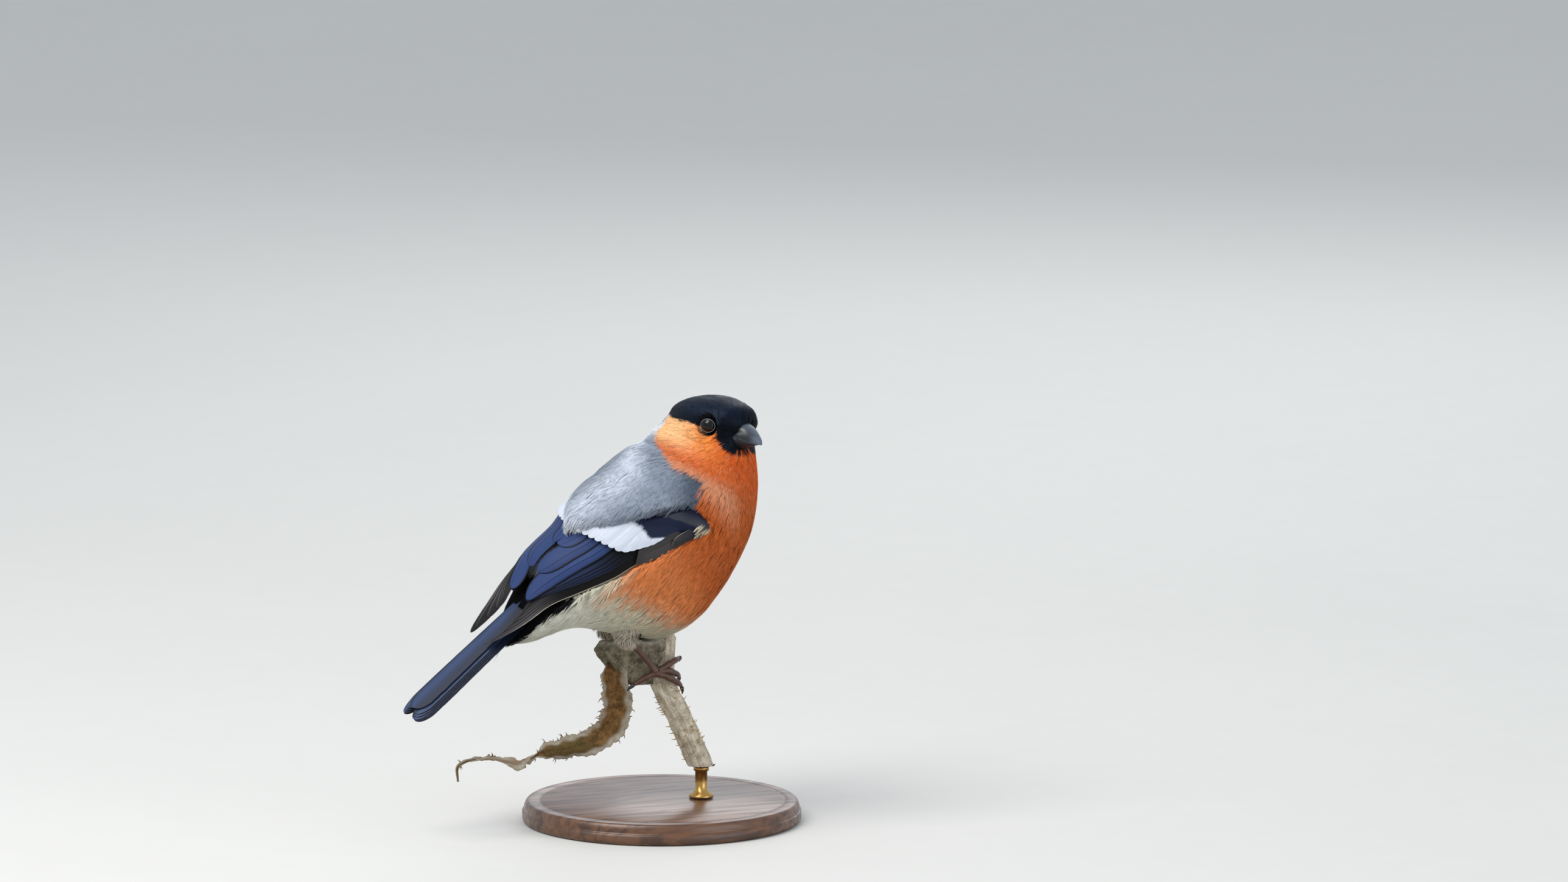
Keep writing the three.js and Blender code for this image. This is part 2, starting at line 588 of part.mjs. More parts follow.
const coverts = (side, grow) => COVERTS.map((feather) => wingFeather(side, {
  ...feather, level: feather.level + grow, thick: feather.thick + 2 * grow, width: feather.width + grow,
}));

// Pockets keep the torso and rump clear of the folded wings and of the tail's root.
const pockets = SIDES.map(([, side]) => (
  joined([armPad(side, { rear: 3 * GAP, room: 12, rim: 2 * GAP }), flightPocket(side), ...coverts(side, 2 * GAP)])
));
const tailPieces = (grow) => steps(0, 5, 5).flatMap((pair) => (
  [tailFeather(-1, pair, grow), tailFeather(1, pair, grow)]
));

// The face, lids and sockets on the head.
let headSolid = solidOf(bodyLength(CUT.neck + gapInSections(CUT.neck), CUT.crown, 13, 28));
for (const [, side] of SIDES) headSolid = headSolid.add(solidOf(lidRing(side)));
for (const [, side] of SIDES) headSolid = headSolid.subtract(solidOf(ball(eyeCentre(side), EYE_RADIUS + GAP)));
headSolid = headSolid.subtract(solidOf(billWhole(GAP)));
place(bird, 'head', geometryFrom(headSolid), COLOUR.cap);

SIDES.forEach(([name, side]) => {
  place(bird, `eye_${name}`, ball(eyeCentre(side), EYE_RADIUS), COLOUR.eye, { roughness: 0.1 });
});

// The bill in its two halves, with a nostril pit on each side of the upper one.
let upperBill = solidOf(billWhole(0)).intersect(solidOf(mouthSide(true)));
for (const [, side] of SIDES) {
  upperBill = upperBill.subtract(solidOf(ball(nostrilAt(side), NOSTRIL_RADIUS, 8, 6)));
}
place(bird, 'bill_upper', geometryFrom(upperBill), COLOUR.bill, { roughness: 0.4 });
const lowerBill = solidOf(billWhole(0)).intersect(solidOf(mouthSide(false)));
place(bird, 'bill_lower', geometryFrom(lowerBill), COLOUR.bill, { roughness: 0.4 });

const neck = solidOf(bodyLength(CUT.torso + gapInSections(CUT.torso), CUT.neck, 5, 28))
  .subtract(solidOf(billWhole(GAP))).subtract(pockets[0]).subtract(pockets[1]);
place(bird, 'neck', geometryFrom(neck), COLOUR.breast);

const torso = solidOf(bodyLength(CUT.rump + gapInSections(CUT.rump), CUT.torso, 12, 32))
  .subtract(pockets[0]).subtract(pockets[1]).subtract(joined(tailPieces(GAP)));
place(bird, 'torso', geometryFrom(torso), COLOUR.breast);

// The rump closes over the tail's root, above and below it.
const rump = solidOf(bodyLength(CUT.tip, CUT.rump, 6, 26)).subtract(pockets[0]).subtract(pockets[1])
  .subtract(joined(tailPieces(GAP)));
place(bird, 'rump', geometryFrom(rump), COLOUR.rump);

place(bird, 'tail', geometryFrom(joined(tailPieces(0))), COLOUR.tail, { roughness: 0.5 });

// Each wing: the arm with its coverts, and the flight feathers that come out from under them.
for (const [name, side] of SIDES) {
  const arm = joined([armPad(side, {}), ...coverts(side, 0)]);
  place(bird, `wing_${name}_arm`, geometryFrom(arm), COLOUR.coverts);
  const flight = joined(FLIGHT.map((feather) => wingFeather(side, feather)))
    .subtract(joined([armPad(side, { rear: GAP, rim: GAP }), ...coverts(side, GAP)]));
  place(bird, `wing_${name}_flight`, geometryFrom(flight), COLOUR.wing, { roughness: 0.5 });
}

// Legs: the thigh comes out of the belly, and the tarsus runs from its end face to the palm.
const stemRod = (grow) => (
  rodAlong(STEM_AXIS, [1, 0.98, 1, 1].map((k) => k * STEM_RADIUS + grow), 18, 8, 9)
);
for (const [name, side] of SIDES) {
  const [ankle, palm] = tarsusPath(side).map(vec);
  const down = palm.clone().sub(ankle).normalize();
  const hip = ankle.clone().addScaledVector(down, -THIGH_LENGTH).add(new THREE.Vector3(3, 0, 2));
  const thighPath = [hip, ankle.clone().addScaledVector(down, -0.5 * THIGH_LENGTH), ankle];
  const thigh = solidOf(rodAlong(thighPath.map((p) => p.toArray()), THIGH_RADII, 12, 6).applyMatrix4(LEVEL_TURN))
    .subtract(solidOf(bodyLength(CUT.rump, CUT.torso, 14, 36, GAP)));
  place(bird, `leg_${name}_thigh`, geometryFrom(thigh), COLOUR.rump);
  const knee = ankle.clone().addScaledVector(down, GAP).toArray();
  const end = palm.clone().addScaledVector(down, -TOE_RADII[0] - GAP).toArray();
  const tarsus = rodAlong([knee, end], [1.25, TARSUS_RADIUS, TARSUS_RADIUS, 1.15], 10, 6);
  place(level, `leg_${name}_tarsus`, tarsus, COLOUR.leg);
  const toes = TOES.map((toe) => rodAlong(toe.map((p) => onSide(side, p)), TOE_RADII, 7, 8));
  const pad = ball(palm, 1.45, 10, 7);
  const seat = [ankle.toArray(), palm.clone().addScaledVector(down, -TOE_RADII[0]).toArray()];
  const foot = joined([pad, ...toes]).subtract(solidOf(rodAlong(seat, [2.2, 2.2], 10, 2)))
    .subtract(solidOf(stemRod(GAP))).subtract(solidOf(cupBody(GAP)));
  place(level, `foot_${name}`, geometryFrom(foot), COLOUR.leg);
}

// Perch: the stem, the woody cup of its leaf bases and the dead leaf that hangs from it.
const bodyRoom = solidOf(bodyLength(CUT.rump, CUT.torso, 14, 36, GAP).applyMatrix4(PITCH_TURN));
const belowStem = new THREE.BoxGeometry(60, 60, 30).translate(STEM_LOW[0], STEM_LOW[1], STEM_CUT - 15);
const stem = solidOf(stemRod(0)).subtract(solidOf(belowStem)).subtract(bodyRoom);
place(level, 'perch_stem', geometryFrom(stem), COLOUR.stem);
const cup = solidOf(cupBody()).subtract(solidOf(stemRod(GAP))).subtract(bodyRoom);
place(level, 'perch_cup', geometryFrom(cup), COLOUR.bark);
const leaf = solidOf(leafBody()).subtract(solidOf(cupBody(GAP))).subtract(solidOf(stemRod(GAP)));
place(level, 'perch_leaf', geometryFrom(leaf), COLOUR.leaf);

// Stand: a turned base, and one short rod up to the cut end of the stem.
const edge = 1.6;
const outline = [[0, 0], [BASE_RADIUS - edge, 0], [BASE_RADIUS, edge], [BASE_RADIUS, BASE_HEIGHT - 2 * edge],
  [BASE_RADIUS - edge, BASE_HEIGHT - 0.5 * edge], [BASE_RADIUS - 2 * edge, BASE_HEIGHT], [0, BASE_HEIGHT]];
const base = new THREE.LatheGeometry(outline.map(([r, h]) => new THREE.Vector2(r, h)), 40).rotateX(Math.PI / 2);
place(model, 'stand_base', geometryFrom(solidOf(base)), COLOUR.wood, { roughness: 0.5 });
const rodTop = BODY_CENTRE[2] + STEM_CUT - GAP;
const rodLow = BASE_HEIGHT + GAP;
const rod = new THREE.CylinderGeometry(ROD_RADIUS, ROD_RADIUS, rodTop - rodLow, 16).rotateX(Math.PI / 2)
  .translate(BODY_CENTRE[0] + STEM_LOW[0] - 1, BODY_CENTRE[1] + STEM_LOW[1], (rodTop + rodLow) / 2);
place(model, 'stand_rod', rod, COLOUR.brass, { roughness: 0.3, metalness: 1 });

export default model;
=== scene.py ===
"""A male Eurasian bullfinch at life size, gripping a cut dry stem over a plain display stand.

Shapes are worked out in millimetres, in the body's frame (x along the back to the head, y to the left, z to the
back) or in the level frame that shares its origin, and go into the meshes in metres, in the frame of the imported
model.
"""

import bpy
import numpy as np
from mathutils import Matrix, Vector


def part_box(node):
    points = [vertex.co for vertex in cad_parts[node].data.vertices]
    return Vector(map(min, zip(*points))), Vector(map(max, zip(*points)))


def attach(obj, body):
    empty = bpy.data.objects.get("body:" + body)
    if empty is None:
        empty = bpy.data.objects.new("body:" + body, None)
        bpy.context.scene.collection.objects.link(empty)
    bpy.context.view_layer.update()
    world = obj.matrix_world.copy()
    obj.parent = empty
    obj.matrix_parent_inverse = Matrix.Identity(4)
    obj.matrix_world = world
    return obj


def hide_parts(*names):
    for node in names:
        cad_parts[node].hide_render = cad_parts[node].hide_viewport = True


bl_info = {
    "name": "Perched bullfinch",
    "version": (1, 0, 0),
    "blender": (4, 5, 0),
    "location": "View3D > Sidebar > Bullfinch",
    "description": "Plumage, wings, tail, bill, feet, perch and stand of a life-size bullfinch",
    "category": "Add Mesh",
}

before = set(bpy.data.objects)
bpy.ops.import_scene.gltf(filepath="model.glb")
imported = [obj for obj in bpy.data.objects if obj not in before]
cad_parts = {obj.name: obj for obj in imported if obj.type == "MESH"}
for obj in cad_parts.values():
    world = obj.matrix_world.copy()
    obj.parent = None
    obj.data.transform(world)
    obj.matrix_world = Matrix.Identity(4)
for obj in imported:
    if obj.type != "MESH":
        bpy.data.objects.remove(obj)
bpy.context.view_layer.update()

MM = 0.001
FULL_TURN = 2 * np.pi

# Driving sizes, in millimetres and degrees
BODY_PITCH = 38.6
BODY_ROLL = 16.5
BODY_CENTRE = np.array([-5.0, 0.0, 92.0])
HEAD_TURN = 66.5
HEAD_PITCH = 51.4
WING_LENGTH = 83.3
TAIL_LENGTH = 65.0
TAIL_HALF_WIDTH = 7.0
EYE_RADIUS = 3.0
BILL_LENGTH = 12.3
STEM_RADIUS = 3.9
BASE_RADIUS = 46.0
BASE_HEIGHT = 7.0
ROD_RADIUS = 2.0
GAP = 0.3
SIDES = {"right": -1, "left": 1}
SEEDS = {"coat": 17, "bristles": 29, "wings": 41, "tail": 53, "perch": 67}


# Numbers and vectors

def along(table, t):
    """Rows of a table at t: cubic Hermite curves through its rows, with the slopes of their neighbours."""
    table = np.asarray(table, float)
    t = np.asarray(t, float)
    x = table[:, 0]
    last = len(table) - 1
    i = np.clip(np.searchsorted(x, t, side="left") - 1, 0, last - 1)
    low = np.maximum(np.arange(last + 1) - 1, 0)
    high = np.minimum(np.arange(last + 1) + 1, last)
    slope = (table[high, 1:] - table[low, 1:]) / (x[high] - x[low])[:, None]
    span = (x[i + 1] - x[i])[..., None]
    s = (t - x[i])[..., None] / span
    return ((2 * s**3 - 3 * s**2 + 1) * table[i, 1:] + (s**3 - 2 * s**2 + s) * span * slope[i]
            + (-2 * s**3 + 3 * s**2) * table[i + 1, 1:] + (s**3 - s**2) * span * slope[i + 1])


def level_at(table, t):
    """One value at t, by straight lines between the rows of a two-column table."""
    table = np.asarray(table, float)
    return np.interp(t, table[:, 0], table[:, 1])


def unit(v):
    """Vectors scaled to length one."""
    return v / np.maximum(np.linalg.norm(v, axis=-1, keepdims=True), 1e-12)


def dot(a, b):
    """Dot products along the last axis."""
    return np.sum(a * b, axis=-1)


def stacked(*values):
    """Values brought to one shape and stacked along a new last axis."""
    return np.stack(np.broadcast_arrays(*values), -1)


def turns(count):
    """Even angles round a full turn."""
    return np.linspace(0, FULL_TURN, count + 1)[:-1]


def laid(lie, normal):
    """Directions laid flat on a surface that has these normals."""
    return unit(lie - dot(lie, normal)[..., None] * normal)


def ease(x, low, high):
    """0 below low, 1 above high, and a smooth cubic step between them."""
    s = np.clip((x - low) / (high - low), 0, 1)
    return s * s * (3 - 2 * s)


def blend(a, b, s):
    """a where s is 0 and b where it is 1, for colours or vectors, which run along the last axis."""
    a, b = np.asarray(a, float), np.asarray(b, float)
    return a + (b - a) * np.asarray(s, float)[..., None]


def tangent_of(points):
    """Unit directions along a line of points, by central differences."""
    return unit(np.gradient(points, axis=0))


def smooth_path(points, count):
    """A curve of count points through the given ones, even along their chords."""
    points = np.asarray(points, float)
    chord = np.concatenate([[0], np.cumsum(np.linalg.norm(np.diff(points, axis=0), axis=1))])
    return along(np.column_stack([chord, points]), np.linspace(0, chord[-1], count))


def rgb(*values):
    """A colour from its screen values of 0 to 255, as the linear values that shaders use."""
    c = np.array(values, float) / 255
    return np.where(c <= 0.04045, c / 12.92, ((c + 0.055) / 1.055) ** 2.4)


PITCH = np.radians(BODY_PITCH)
BODY_AXES = np.array([[np.cos(PITCH), 0, np.sin(PITCH)], [0, 1, 0], [-np.sin(PITCH), 0, np.cos(PITCH)]])
DOWN_IN_BODY = -BODY_AXES[:, 2]


def level_place(points):
    """Level frame in millimetres to the model's frame in metres."""
    return (points + BODY_CENTRE) * MM


def body_place(points):
    """Body frame in millimetres to the model's frame in metres."""
    return level_place(points @ BODY_AXES)


# Meshes

def put_mesh(name, points, faces, colours=None, uvs=None, scalars=None, smooth=True, normals=None):
    """A mesh object from metres and lists of equal-sided faces, with point colours, point values and corner maps."""
    mesh = bpy.data.meshes.new(name)
    points = np.asarray(points, float).reshape(-1, 3)
    corners = np.concatenate([f.ravel() for f in faces]).astype(np.int32)
    sizes = np.concatenate([np.full(len(f), f.shape[1]) for f in faces])
    starts = (np.cumsum(sizes) - sizes).astype(np.int32)
    mesh.vertices.add(len(points))
    mesh.vertices.foreach_set("co", points.astype(np.float32).ravel())
    mesh.loops.add(len(corners))
    mesh.loops.foreach_set("vertex_index", corners)
    mesh.polygons.add(len(starts))
    mesh.polygons.foreach_set("loop_start", starts)
    mesh.update(calc_edges=True)
    mesh.polygons.foreach_set("use_smooth", np.full(len(starts), smooth))
    for key, values in (colours or {}).items():
        rgba = np.ones((len(points), 4), np.float32)
        rgba[:, :3] = np.asarray(values).reshape(-1, 3)
        mesh.attributes.new(key, "FLOAT_COLOR", "POINT").data.foreach_set("color", rgba.ravel())
    for key, values in (scalars or {}).items():
        data = mesh.attributes.new(key, "FLOAT", "POINT").data
        data.foreach_set("value", np.asarray(values, np.float32).ravel())
    for key, values in (uvs or {}).items():
        layer = mesh.uv_layers.new(name=key)
        layer.data.foreach_set("uv", np.asarray(values, np.float32).reshape(-1, 2)[corners].ravel())
    mesh.validate()
    if normals is not None:
        mesh.normals_split_custom_set_from_vertices(np.asarray(normals, float).reshape(-1, 3))
    piece = bpy.data.objects.new(name, mesh)
    bpy.context.scene.collection.objects.link(piece)
    return piece


def grid_faces(rows, columns, closed=True):
    """Quads over a grid of rows by columns, whose last column meets the first if it is closed."""
    i = np.arange(rows - 1)[:, None]
    j = np.arange(columns if closed else columns - 1)[None, :]
    k = (j + 1) % columns
    a, b = i * columns + j, i * columns + k
    return np.stack([a, b, b + columns, a + columns], -1).reshape(-1, 4)


def closed_loft(name, rings, place, **extras):
    """A skin over rings of points with a fan at each end, facing out."""
    rings = np.asarray(rings, float)
    rows, columns = rings.shape[:2]
    points = np.concatenate([rings.reshape(-1, 3), rings[0].mean(0)[None], rings[-1].mean(0)[None]])
    quads = grid_faces(rows, columns)
    j = np.arange(columns)
    k = (j + 1) % columns
    first, last = rows * columns, rows * columns + 1
    end = (rows - 1) * columns
    fans = np.concatenate([
        np.stack([np.full(columns, first), k, j], -1), np.stack([np.full(columns, last), end + j, end + k], -1),
    ])
    a, b, c, d = (points[quads[:, n]] for n in range(4))
    volume = dot(a, np.cross(b, c)).sum() + dot(a, np.cross(c, d)).sum()
    volume += dot(points[fans[:, 0]], np.cross(points[fans[:, 1]], points[fans[:, 2]])).sum()
    if volume < 0:
        quads, fans = quads[:, ::-1], fans[:, ::-1]
    for key in ("colours", "scalars", "uvs"):
        for part, values in (extras.get(key) or {}).items():
            values = np.asarray(values, float).reshape(rows * columns, -1)
            ends = np.stack([values[:columns].mean(0), values[-columns:].mean(0)])
            extras[key][part] = np.concatenate([values, ends])
    return put_mesh(name, place(points), [quads, fans], **extras)


def tube_rings(path, radius, sides, up=(0, 0, 1)):
    """Rings round a path. radius is a value for each point or for each point and side."""
    path = np.asarray(path, float)
    t = tangent_of(path)
    side = unit(np.cross(np.asarray(up, float), t))
    over = np.cross(t, side)
    angle = turns(sides)
    radius = np.asarray(radius, float)
    if radius.ndim < 2:
        radius = np.broadcast_to(radius.reshape(-1, 1), (len(path), 1))
    ring = side[:, None] * np.cos(angle)[None, :, None] + over[:, None] * np.sin(angle)[None, :, None]
    return path[:, None] + ring * radius[..., None]


def joined_piece(name, pieces):
    """Several mesh objects made one, under a new name."""
    bpy.ops.object.select_all(action="DESELECT")
    for piece in pieces:
        piece.select_set(True)
    bpy.context.view_layer.objects.active = pieces[0]
    bpy.ops.object.join()
    pieces[0].name = name
    pieces[0].data.name = name
    return pieces[0]


def finish_piece(piece, material, slot, *nodes):
    """Dress a finished piece, let it ride on the one body and stand for its nodes."""
    piece.data.materials.clear()
    piece.data.materials.append(material)
    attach(piece, "root")
    if nodes:
        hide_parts(*nodes)
    return piece


# The body's own shape

# Section number, the spine's point, pitch and turn of the section, reach to front, back and side, and exponent
SECTIONS = np.array([
    [0, -56.5, 0, 10.2, 0, -BODY_ROLL, 1.6, 1.5, 3.5, 2], [1, -51, 0, 10.5, 0, -BODY_ROLL, 5.4, 4.6, 8, 2],
    [2, -44, 0, 10.5, 0, -BODY_ROLL, 8, 7.2, 11.5, 2], [3, -36, 0, 9.5, 0, -BODY_ROLL, 11.5, 10.4, 15, 2.05],
    [4, -27, 0, 6, 0, -BODY_ROLL, 19.8, 17.2, 19.4, 2.1], [5, -18, 0, 3, 0, -BODY_ROLL, 28.2, 23.2, 22.8, 2.15],
    [6, -10, 0, 2, 0, -BODY_ROLL, 30.8, 26.2, 24.8, 2.2], [7, -2, 0, 2, 0, -BODY_ROLL, 31.8, 27.2, 25.6, 2.2],
    [8, 6, 0, 2, 0, -15, 30, 27.4, 25.6, 2.2], [9, 14, -0.2, 2.6, 3, -9, 27.6, 26.8, 24.6, 2.15],
    [10, 23, -0.8, 5.2, 13, 4, 24.8, 24.2, 21.8, 2.1], [11, 31, -1.7, 9, 27, 23, 20, 20.8, 18.4, 2.05],
    [12, 36.5, -2.6, 12.2, 38, 42, 15.8, 20.2, 15.2, 2.05], [13, 40.2, -3.3, 14.6, 46, 56, 13.2, 20.6, 12.8, 2.1],
    [14, 43.4, -3.7, 17.4, HEAD_PITCH, HEAD_TURN, 13, 19.5, 11.2, 2.15],
    [15, 46.0, -3.7, 20.6, HEAD_PITCH, HEAD_TURN, 11.8, 16.2, 10, 2.1],
    [16, 47.5, -3.7, 22.5, HEAD_PITCH, HEAD_TURN, 8.8, 11.6, 7.7, 2.05],
    [17, 48.4, -3.7, 23.6, HEAD_PITCH, HEAD_TURN, 4.8, 6.2, 4.6, 2],
    [18, 48.65, -3.7, 23.9, HEAD_PITCH, HEAD_TURN, 1.4, 2, 1.4, 2],
], float)
CROWN = 18.0


def section_axes(pitch, turn):
    """The axes of a section: along the spine, to the front, which turns about the spine, and to the left."""
    p, t = np.radians(pitch), -np.radians(turn)
    zero = np.zeros_like(p)
    spine = np.stack([np.cos(p), zero, np.sin(p)], -1)
    front = np.stack([np.sin(p), zero, -np.cos(p)], -1)
    front = front * np.cos(t)[..., None] + np.cross(spine, front) * np.sin(t)[..., None]
    return spine, front, np.cross(spine, front)


def body_point(u, angle, grow=0.0):
    """The body's surface: section u, and an angle round it from the front by the left, as a superellipse."""
    row = along(SECTIONS, u)
    _, front, left = section_axes(row[..., 3], row[..., 4])
    c, s = np.cos(angle), np.sin(angle)
    power = 2 / row[..., 8]
    reach = np.where(c > 0, row[..., 5], row[..., 6]) + grow
    forward = reach * np.sign(c) * np.abs(c) ** power
    across = (row[..., 7] + grow) * np.sign(s) * np.abs(s) ** power
    return row[..., :3] + front * forward[..., None] + left * across[..., None]


HEAD_ROW = along(SECTIONS, np.array(14.0))
HEAD_UP, HEAD_FORWARD, HEAD_LEFT = section_axes(HEAD_ROW[3], HEAD_ROW[4])
EYE_LINE = 4.0
HEAD_ORIGIN = HEAD_ROW[:3] + HEAD_FORWARD * EYE_LINE
HEAD_AXES = np.stack([HEAD_FORWARD, HEAD_LEFT, HEAD_UP])
BILL_ROOT = np.array([6.5, 0.0, -3.6])


def from_head(points):
    """Forward, left and up from midway between the eyes, to the body's frame."""
    return HEAD_ORIGIN + np.asarray(points, float) @ HEAD_AXES


def to_head(points):
    """The body's frame to forward, left and up from midway between the eyes."""
    return (points - HEAD_ORIGIN) @ HEAD_AXES.T


# Bill: sections along its length give forward, the middle height, the reach up and down and the half width
BILL = [
    [0, 2.5, -3.6, 5.6, 5.2, 5.0], [3, 5.5, -3.5, 5.3, 4.8, 4.9], [5, 7.5, -3.5, 5.0, 4.4, 4.6],
    [7, 9.5, -3.5, 4.5, 3.8, 4.1], [9, 11.7, -3.7, 3.6, 2.9, 3.3], [11, 14, -4.2, 2.2, 1.7, 2.1],
    [12, 15.5, -4.7, 1.1, 0.7, 1.2], [BILL_LENGTH, 16.2, -5.2, 0.4, 0.35, 0.5],
]
LOWER_LENGTH = 11.15
MOUTH = [[-4, -3.0], [3.5, -3.9], [6, -3.6], [9, -4.0], [12, -4.9], [14.8, -6.0], [19, -8.2]]

EYE_OUT = 7.3
EYE_FORWARD_TURN = np.radians(20)


def eye_centre(side):
    return from_head([0, side * EYE_OUT, 0.2])


def eye_axis(side):
    """The way the eye looks, in the body's frame."""
    return unit(np.array([np.sin(EYE_FORWARD_TURN), side * np.cos(EYE_FORWARD_TURN), 0.06]) @ HEAD_AXES)


def eye_frame(side):
    """The eye's centre, the way it looks, and the ways to its right and up."""
    axis = eye_axis(side)
    right = unit(np.cross(HEAD_UP, axis))
    return eye_centre(side), axis, right, np.cross(axis, right)


# The folded wing's own map: p from the bend to the tip along the lower edge, q up over the flank, h out
WING = np.array([
    [-4, 17.8, -22.0, -1.2, 6, 26], [0, 14.0, -24.0, 0.0, 4, 25], [14.5, 0.1, -25.0, 3.8, 2, 25],
    [28.0, -12.9, -24.0, 7.4, 6, 24], [34.9, -19.4, -22.0, 8.3, 10, 24], [47.4, -30.9, -18.0, 11.6, 17, 24],
    [58.2, -40.6, -14.0, 14.4, 33, 26], [68.0, -50.0, -11.5, 15.6, 60, 32], [77.5, -59.2, -9.5, 17.3, 80, 44],
    [WING_LENGTH, -64.6, -8.0, 18.4, 84, 60],
], float)
# The left wing rides higher on the raised flank and lies flatter: for each p, the extra lean and the lift
LEFT_WING = [[-4, 0, 0], [14, 0, 0], [30, 9, 2.5], [47.4, 10, 3.2], [58.2, 22, 3.7], [68, 30, 4.3],
             [WING_LENGTH, 30, 4.4]]
ROLL = np.radians(BODY_ROLL)
FLANK_AXIS = np.array([0, np.cos(ROLL), np.sin(ROLL)])


def spine_height(x):
    """The spine's height over the body's frame, by the place along it."""
    return along(SECTIONS[:13, [1, 3]], np.maximum(x, SECTIONS[0, 1]))[..., 0]


def wing_point(side, p, q, height, free=False):
    """A point of the wing: an arc of the row's radius from the lower edge, leant by the row's angle.

    The left wing is mirrored over the rolled plane that holds the spine. Unless it is free, the arc stops at the
    seam where the wings meet on that plane.
    """
    p, q, height = np.broadcast_arrays(np.asarray(p, float), q, height)
    x, y, z, lean, radius = np.moveaxis(along(WING, p), -1, 0)
    more, lift = np.moveaxis(along(LEFT_WING, p), -1, 0) * (side > 0)
    a, h = np.radians(lean + more), height + lift
    middle = (y + radius * np.cos(a)) * FLANK_AXIS[1] + (z - radius * np.sin(a) - spine_height(x)) * FLANK_AXIS[2]
    seam = np.arccos(np.clip((middle + GAP / 2) / (radius + h), -1, 1)) - ROLL
    b = a + q / radius
    if not free:
        b = np.minimum(b, seam + 0.003 * (b - seam))
    across = y + radius * (np.cos(a) - np.cos(b)) - h * np.cos(b)
    point = np.stack([x, across, z + radius * (np.sin(b) - np.sin(a)) + h * np.sin(b)], -1)
    if side < 0:
        return point
    reach = dot(point, FLANK_AXIS) - spine_height(x) * FLANK_AXIS[2]
    return point - 2 * reach[..., None] * FLANK_AXIS


def wing_place(side, points):
    """p, q and h of points near a wing, from the nearest of a net of its own points."""
    p, q = np.meshgrid(np.arange(-8, 70.1, 0.8), np.arange(-6, 36.1, 0.8), indexing="ij")
    net = wing_point(side, p, q, 0.0, True).reshape(-1, 3)
    normal = unit(wing_point(side, p, q, 1.0, True).reshape(-1, 3) - net)
    flat = points.reshape(-1, 3)
    nearest = np.empty(len(flat), int)
    size = 4096
    squares = (net**2).sum(1)
    for start in range(0, len(flat), size):
        part = flat[start:start + size]
        nearest[start:start + size] = (squares[None] - 2 * part @ net.T).argmin(1)
    away = flat - net[nearest]
    h = dot(away, normal[nearest])
    miss = np.linalg.norm(away - h[:, None] * normal[nearest], axis=1)
    shape = points.shape[:-1]
    return tuple(v.reshape(shape) for v in (p.ravel()[nearest], q.ravel()[nearest], h, miss))


# Lower edge of the grey shoulder feathers over the wing: q for each p
SHOULDER_EDGE = [
    [-8, -4], [-3.4, -3], [-1.6, 2.5], [-0.4, 6.5], [2, 9.6], [7, 11.8], [12, 13.8], [17.3, 14.8], [24, 16.0],
    [31, 19.0], [34.5, 22.4], [37, 27], [40, 34],
]
# How high the shoulder feathers lie over the wing's map
WING_COVER = 2.0
GRID_ROWS = 361
GRID_COLUMNS = 288
# The feathers sink to this height over the eye's centre within the first distance of its line of sight
EYE_SINK = 1.35
EYE_HOLLOW = [2.5, 4.8]
BROW = 1.2


def plumage_grid():
    """The surface that the coat grows to, on a grid of sections by angles, and where it shows.

    Over the wing it rises to the shoulder feathers' height, and where the wing shows it sinks under the wing. It
    sinks round the eyes too, and rises to a brow over the bill.
    """
    u = np.linspace(0, CROWN, GRID_ROWS)
    angle = np.linspace(-np.pi, np.pi, GRID_COLUMNS + 1)[:-1]
    uu, aa = np.meshgrid(u, angle, indexing="ij")
    surface = body_point(uu, aa)
    normal = grid_normal(surface)
    shown = np.ones(uu.shape)
    for side in SIDES.values():
        flank = (aa * side > 0.5) & (uu < 11.5)
        p, q, h, miss = (np.full(uu.shape, 99.0) for _ in range(4))
        p[flank], q[flank], h[flank], miss[flank] = wing_place(side, surface[flank])
        near = (miss < 1.4) & (h > -9) & (h < 9)
        edge = level_at(SHOULDER_EDGE, p)
        covered = ease(q - edge, -1.0, 1.8) * (1 - ease(p, 34, 40)) * near
        bare = near * ease(p, -4.0, -1.0) * ease(q, -0.7, 0.9) * (1 - ease(q - edge, -0.6, 0.6))
        cover = WING_COVER + 0.6 * ease(q - edge, 0, 5) + 0.5 * ease(p, 12, 30)
        lift = covered * np.maximum(cover - h, 0) * (1 - ease(q, 27, 35)) * ease(p, -6, 0)
        sink = bare * np.maximum(h + 1.9 + 1.6 * ease(p, 8, 24), 0)
        surface = surface + normal * (lift - sink)[..., None]
        away = surface - eye_centre(side)
        raised = away @ eye_axis(side)
        aside = np.linalg.norm(away - raised[..., None] * eye_axis(side), axis=-1)
        dip = np.maximum(raised - EYE_SINK, 0) * (1 - ease(aside, *EYE_HOLLOW)) * (raised > 0)
        surface = surface - eye_axis(side) * dip[..., None]
        shown = shown * (1 - (bare > 0.6) * (h > -2.6))
    place = to_head(surface)
    brow = BROW * ease(place[..., 0], 1.5, 7) * ease(place[..., 2], -4, 0.5) * (1 - ease(place[..., 2], 2, 9))
    surface = surface + normal * brow[..., None]
    return {"u": uu, "angle": aa, "point": surface, "normal": grid_normal(surface), "shown": shown}


def grid_normal(points):
    """Outward unit normals of a grid of sections by angles, by central differences, wrapped in angle."""
    along_u = np.gradient(points, axis=0)
    along_a = (np.roll(points, -1, 1) - np.roll(points, 1, 1)) / 2
    return unit(np.cross(along_a, along_u))


# Markings

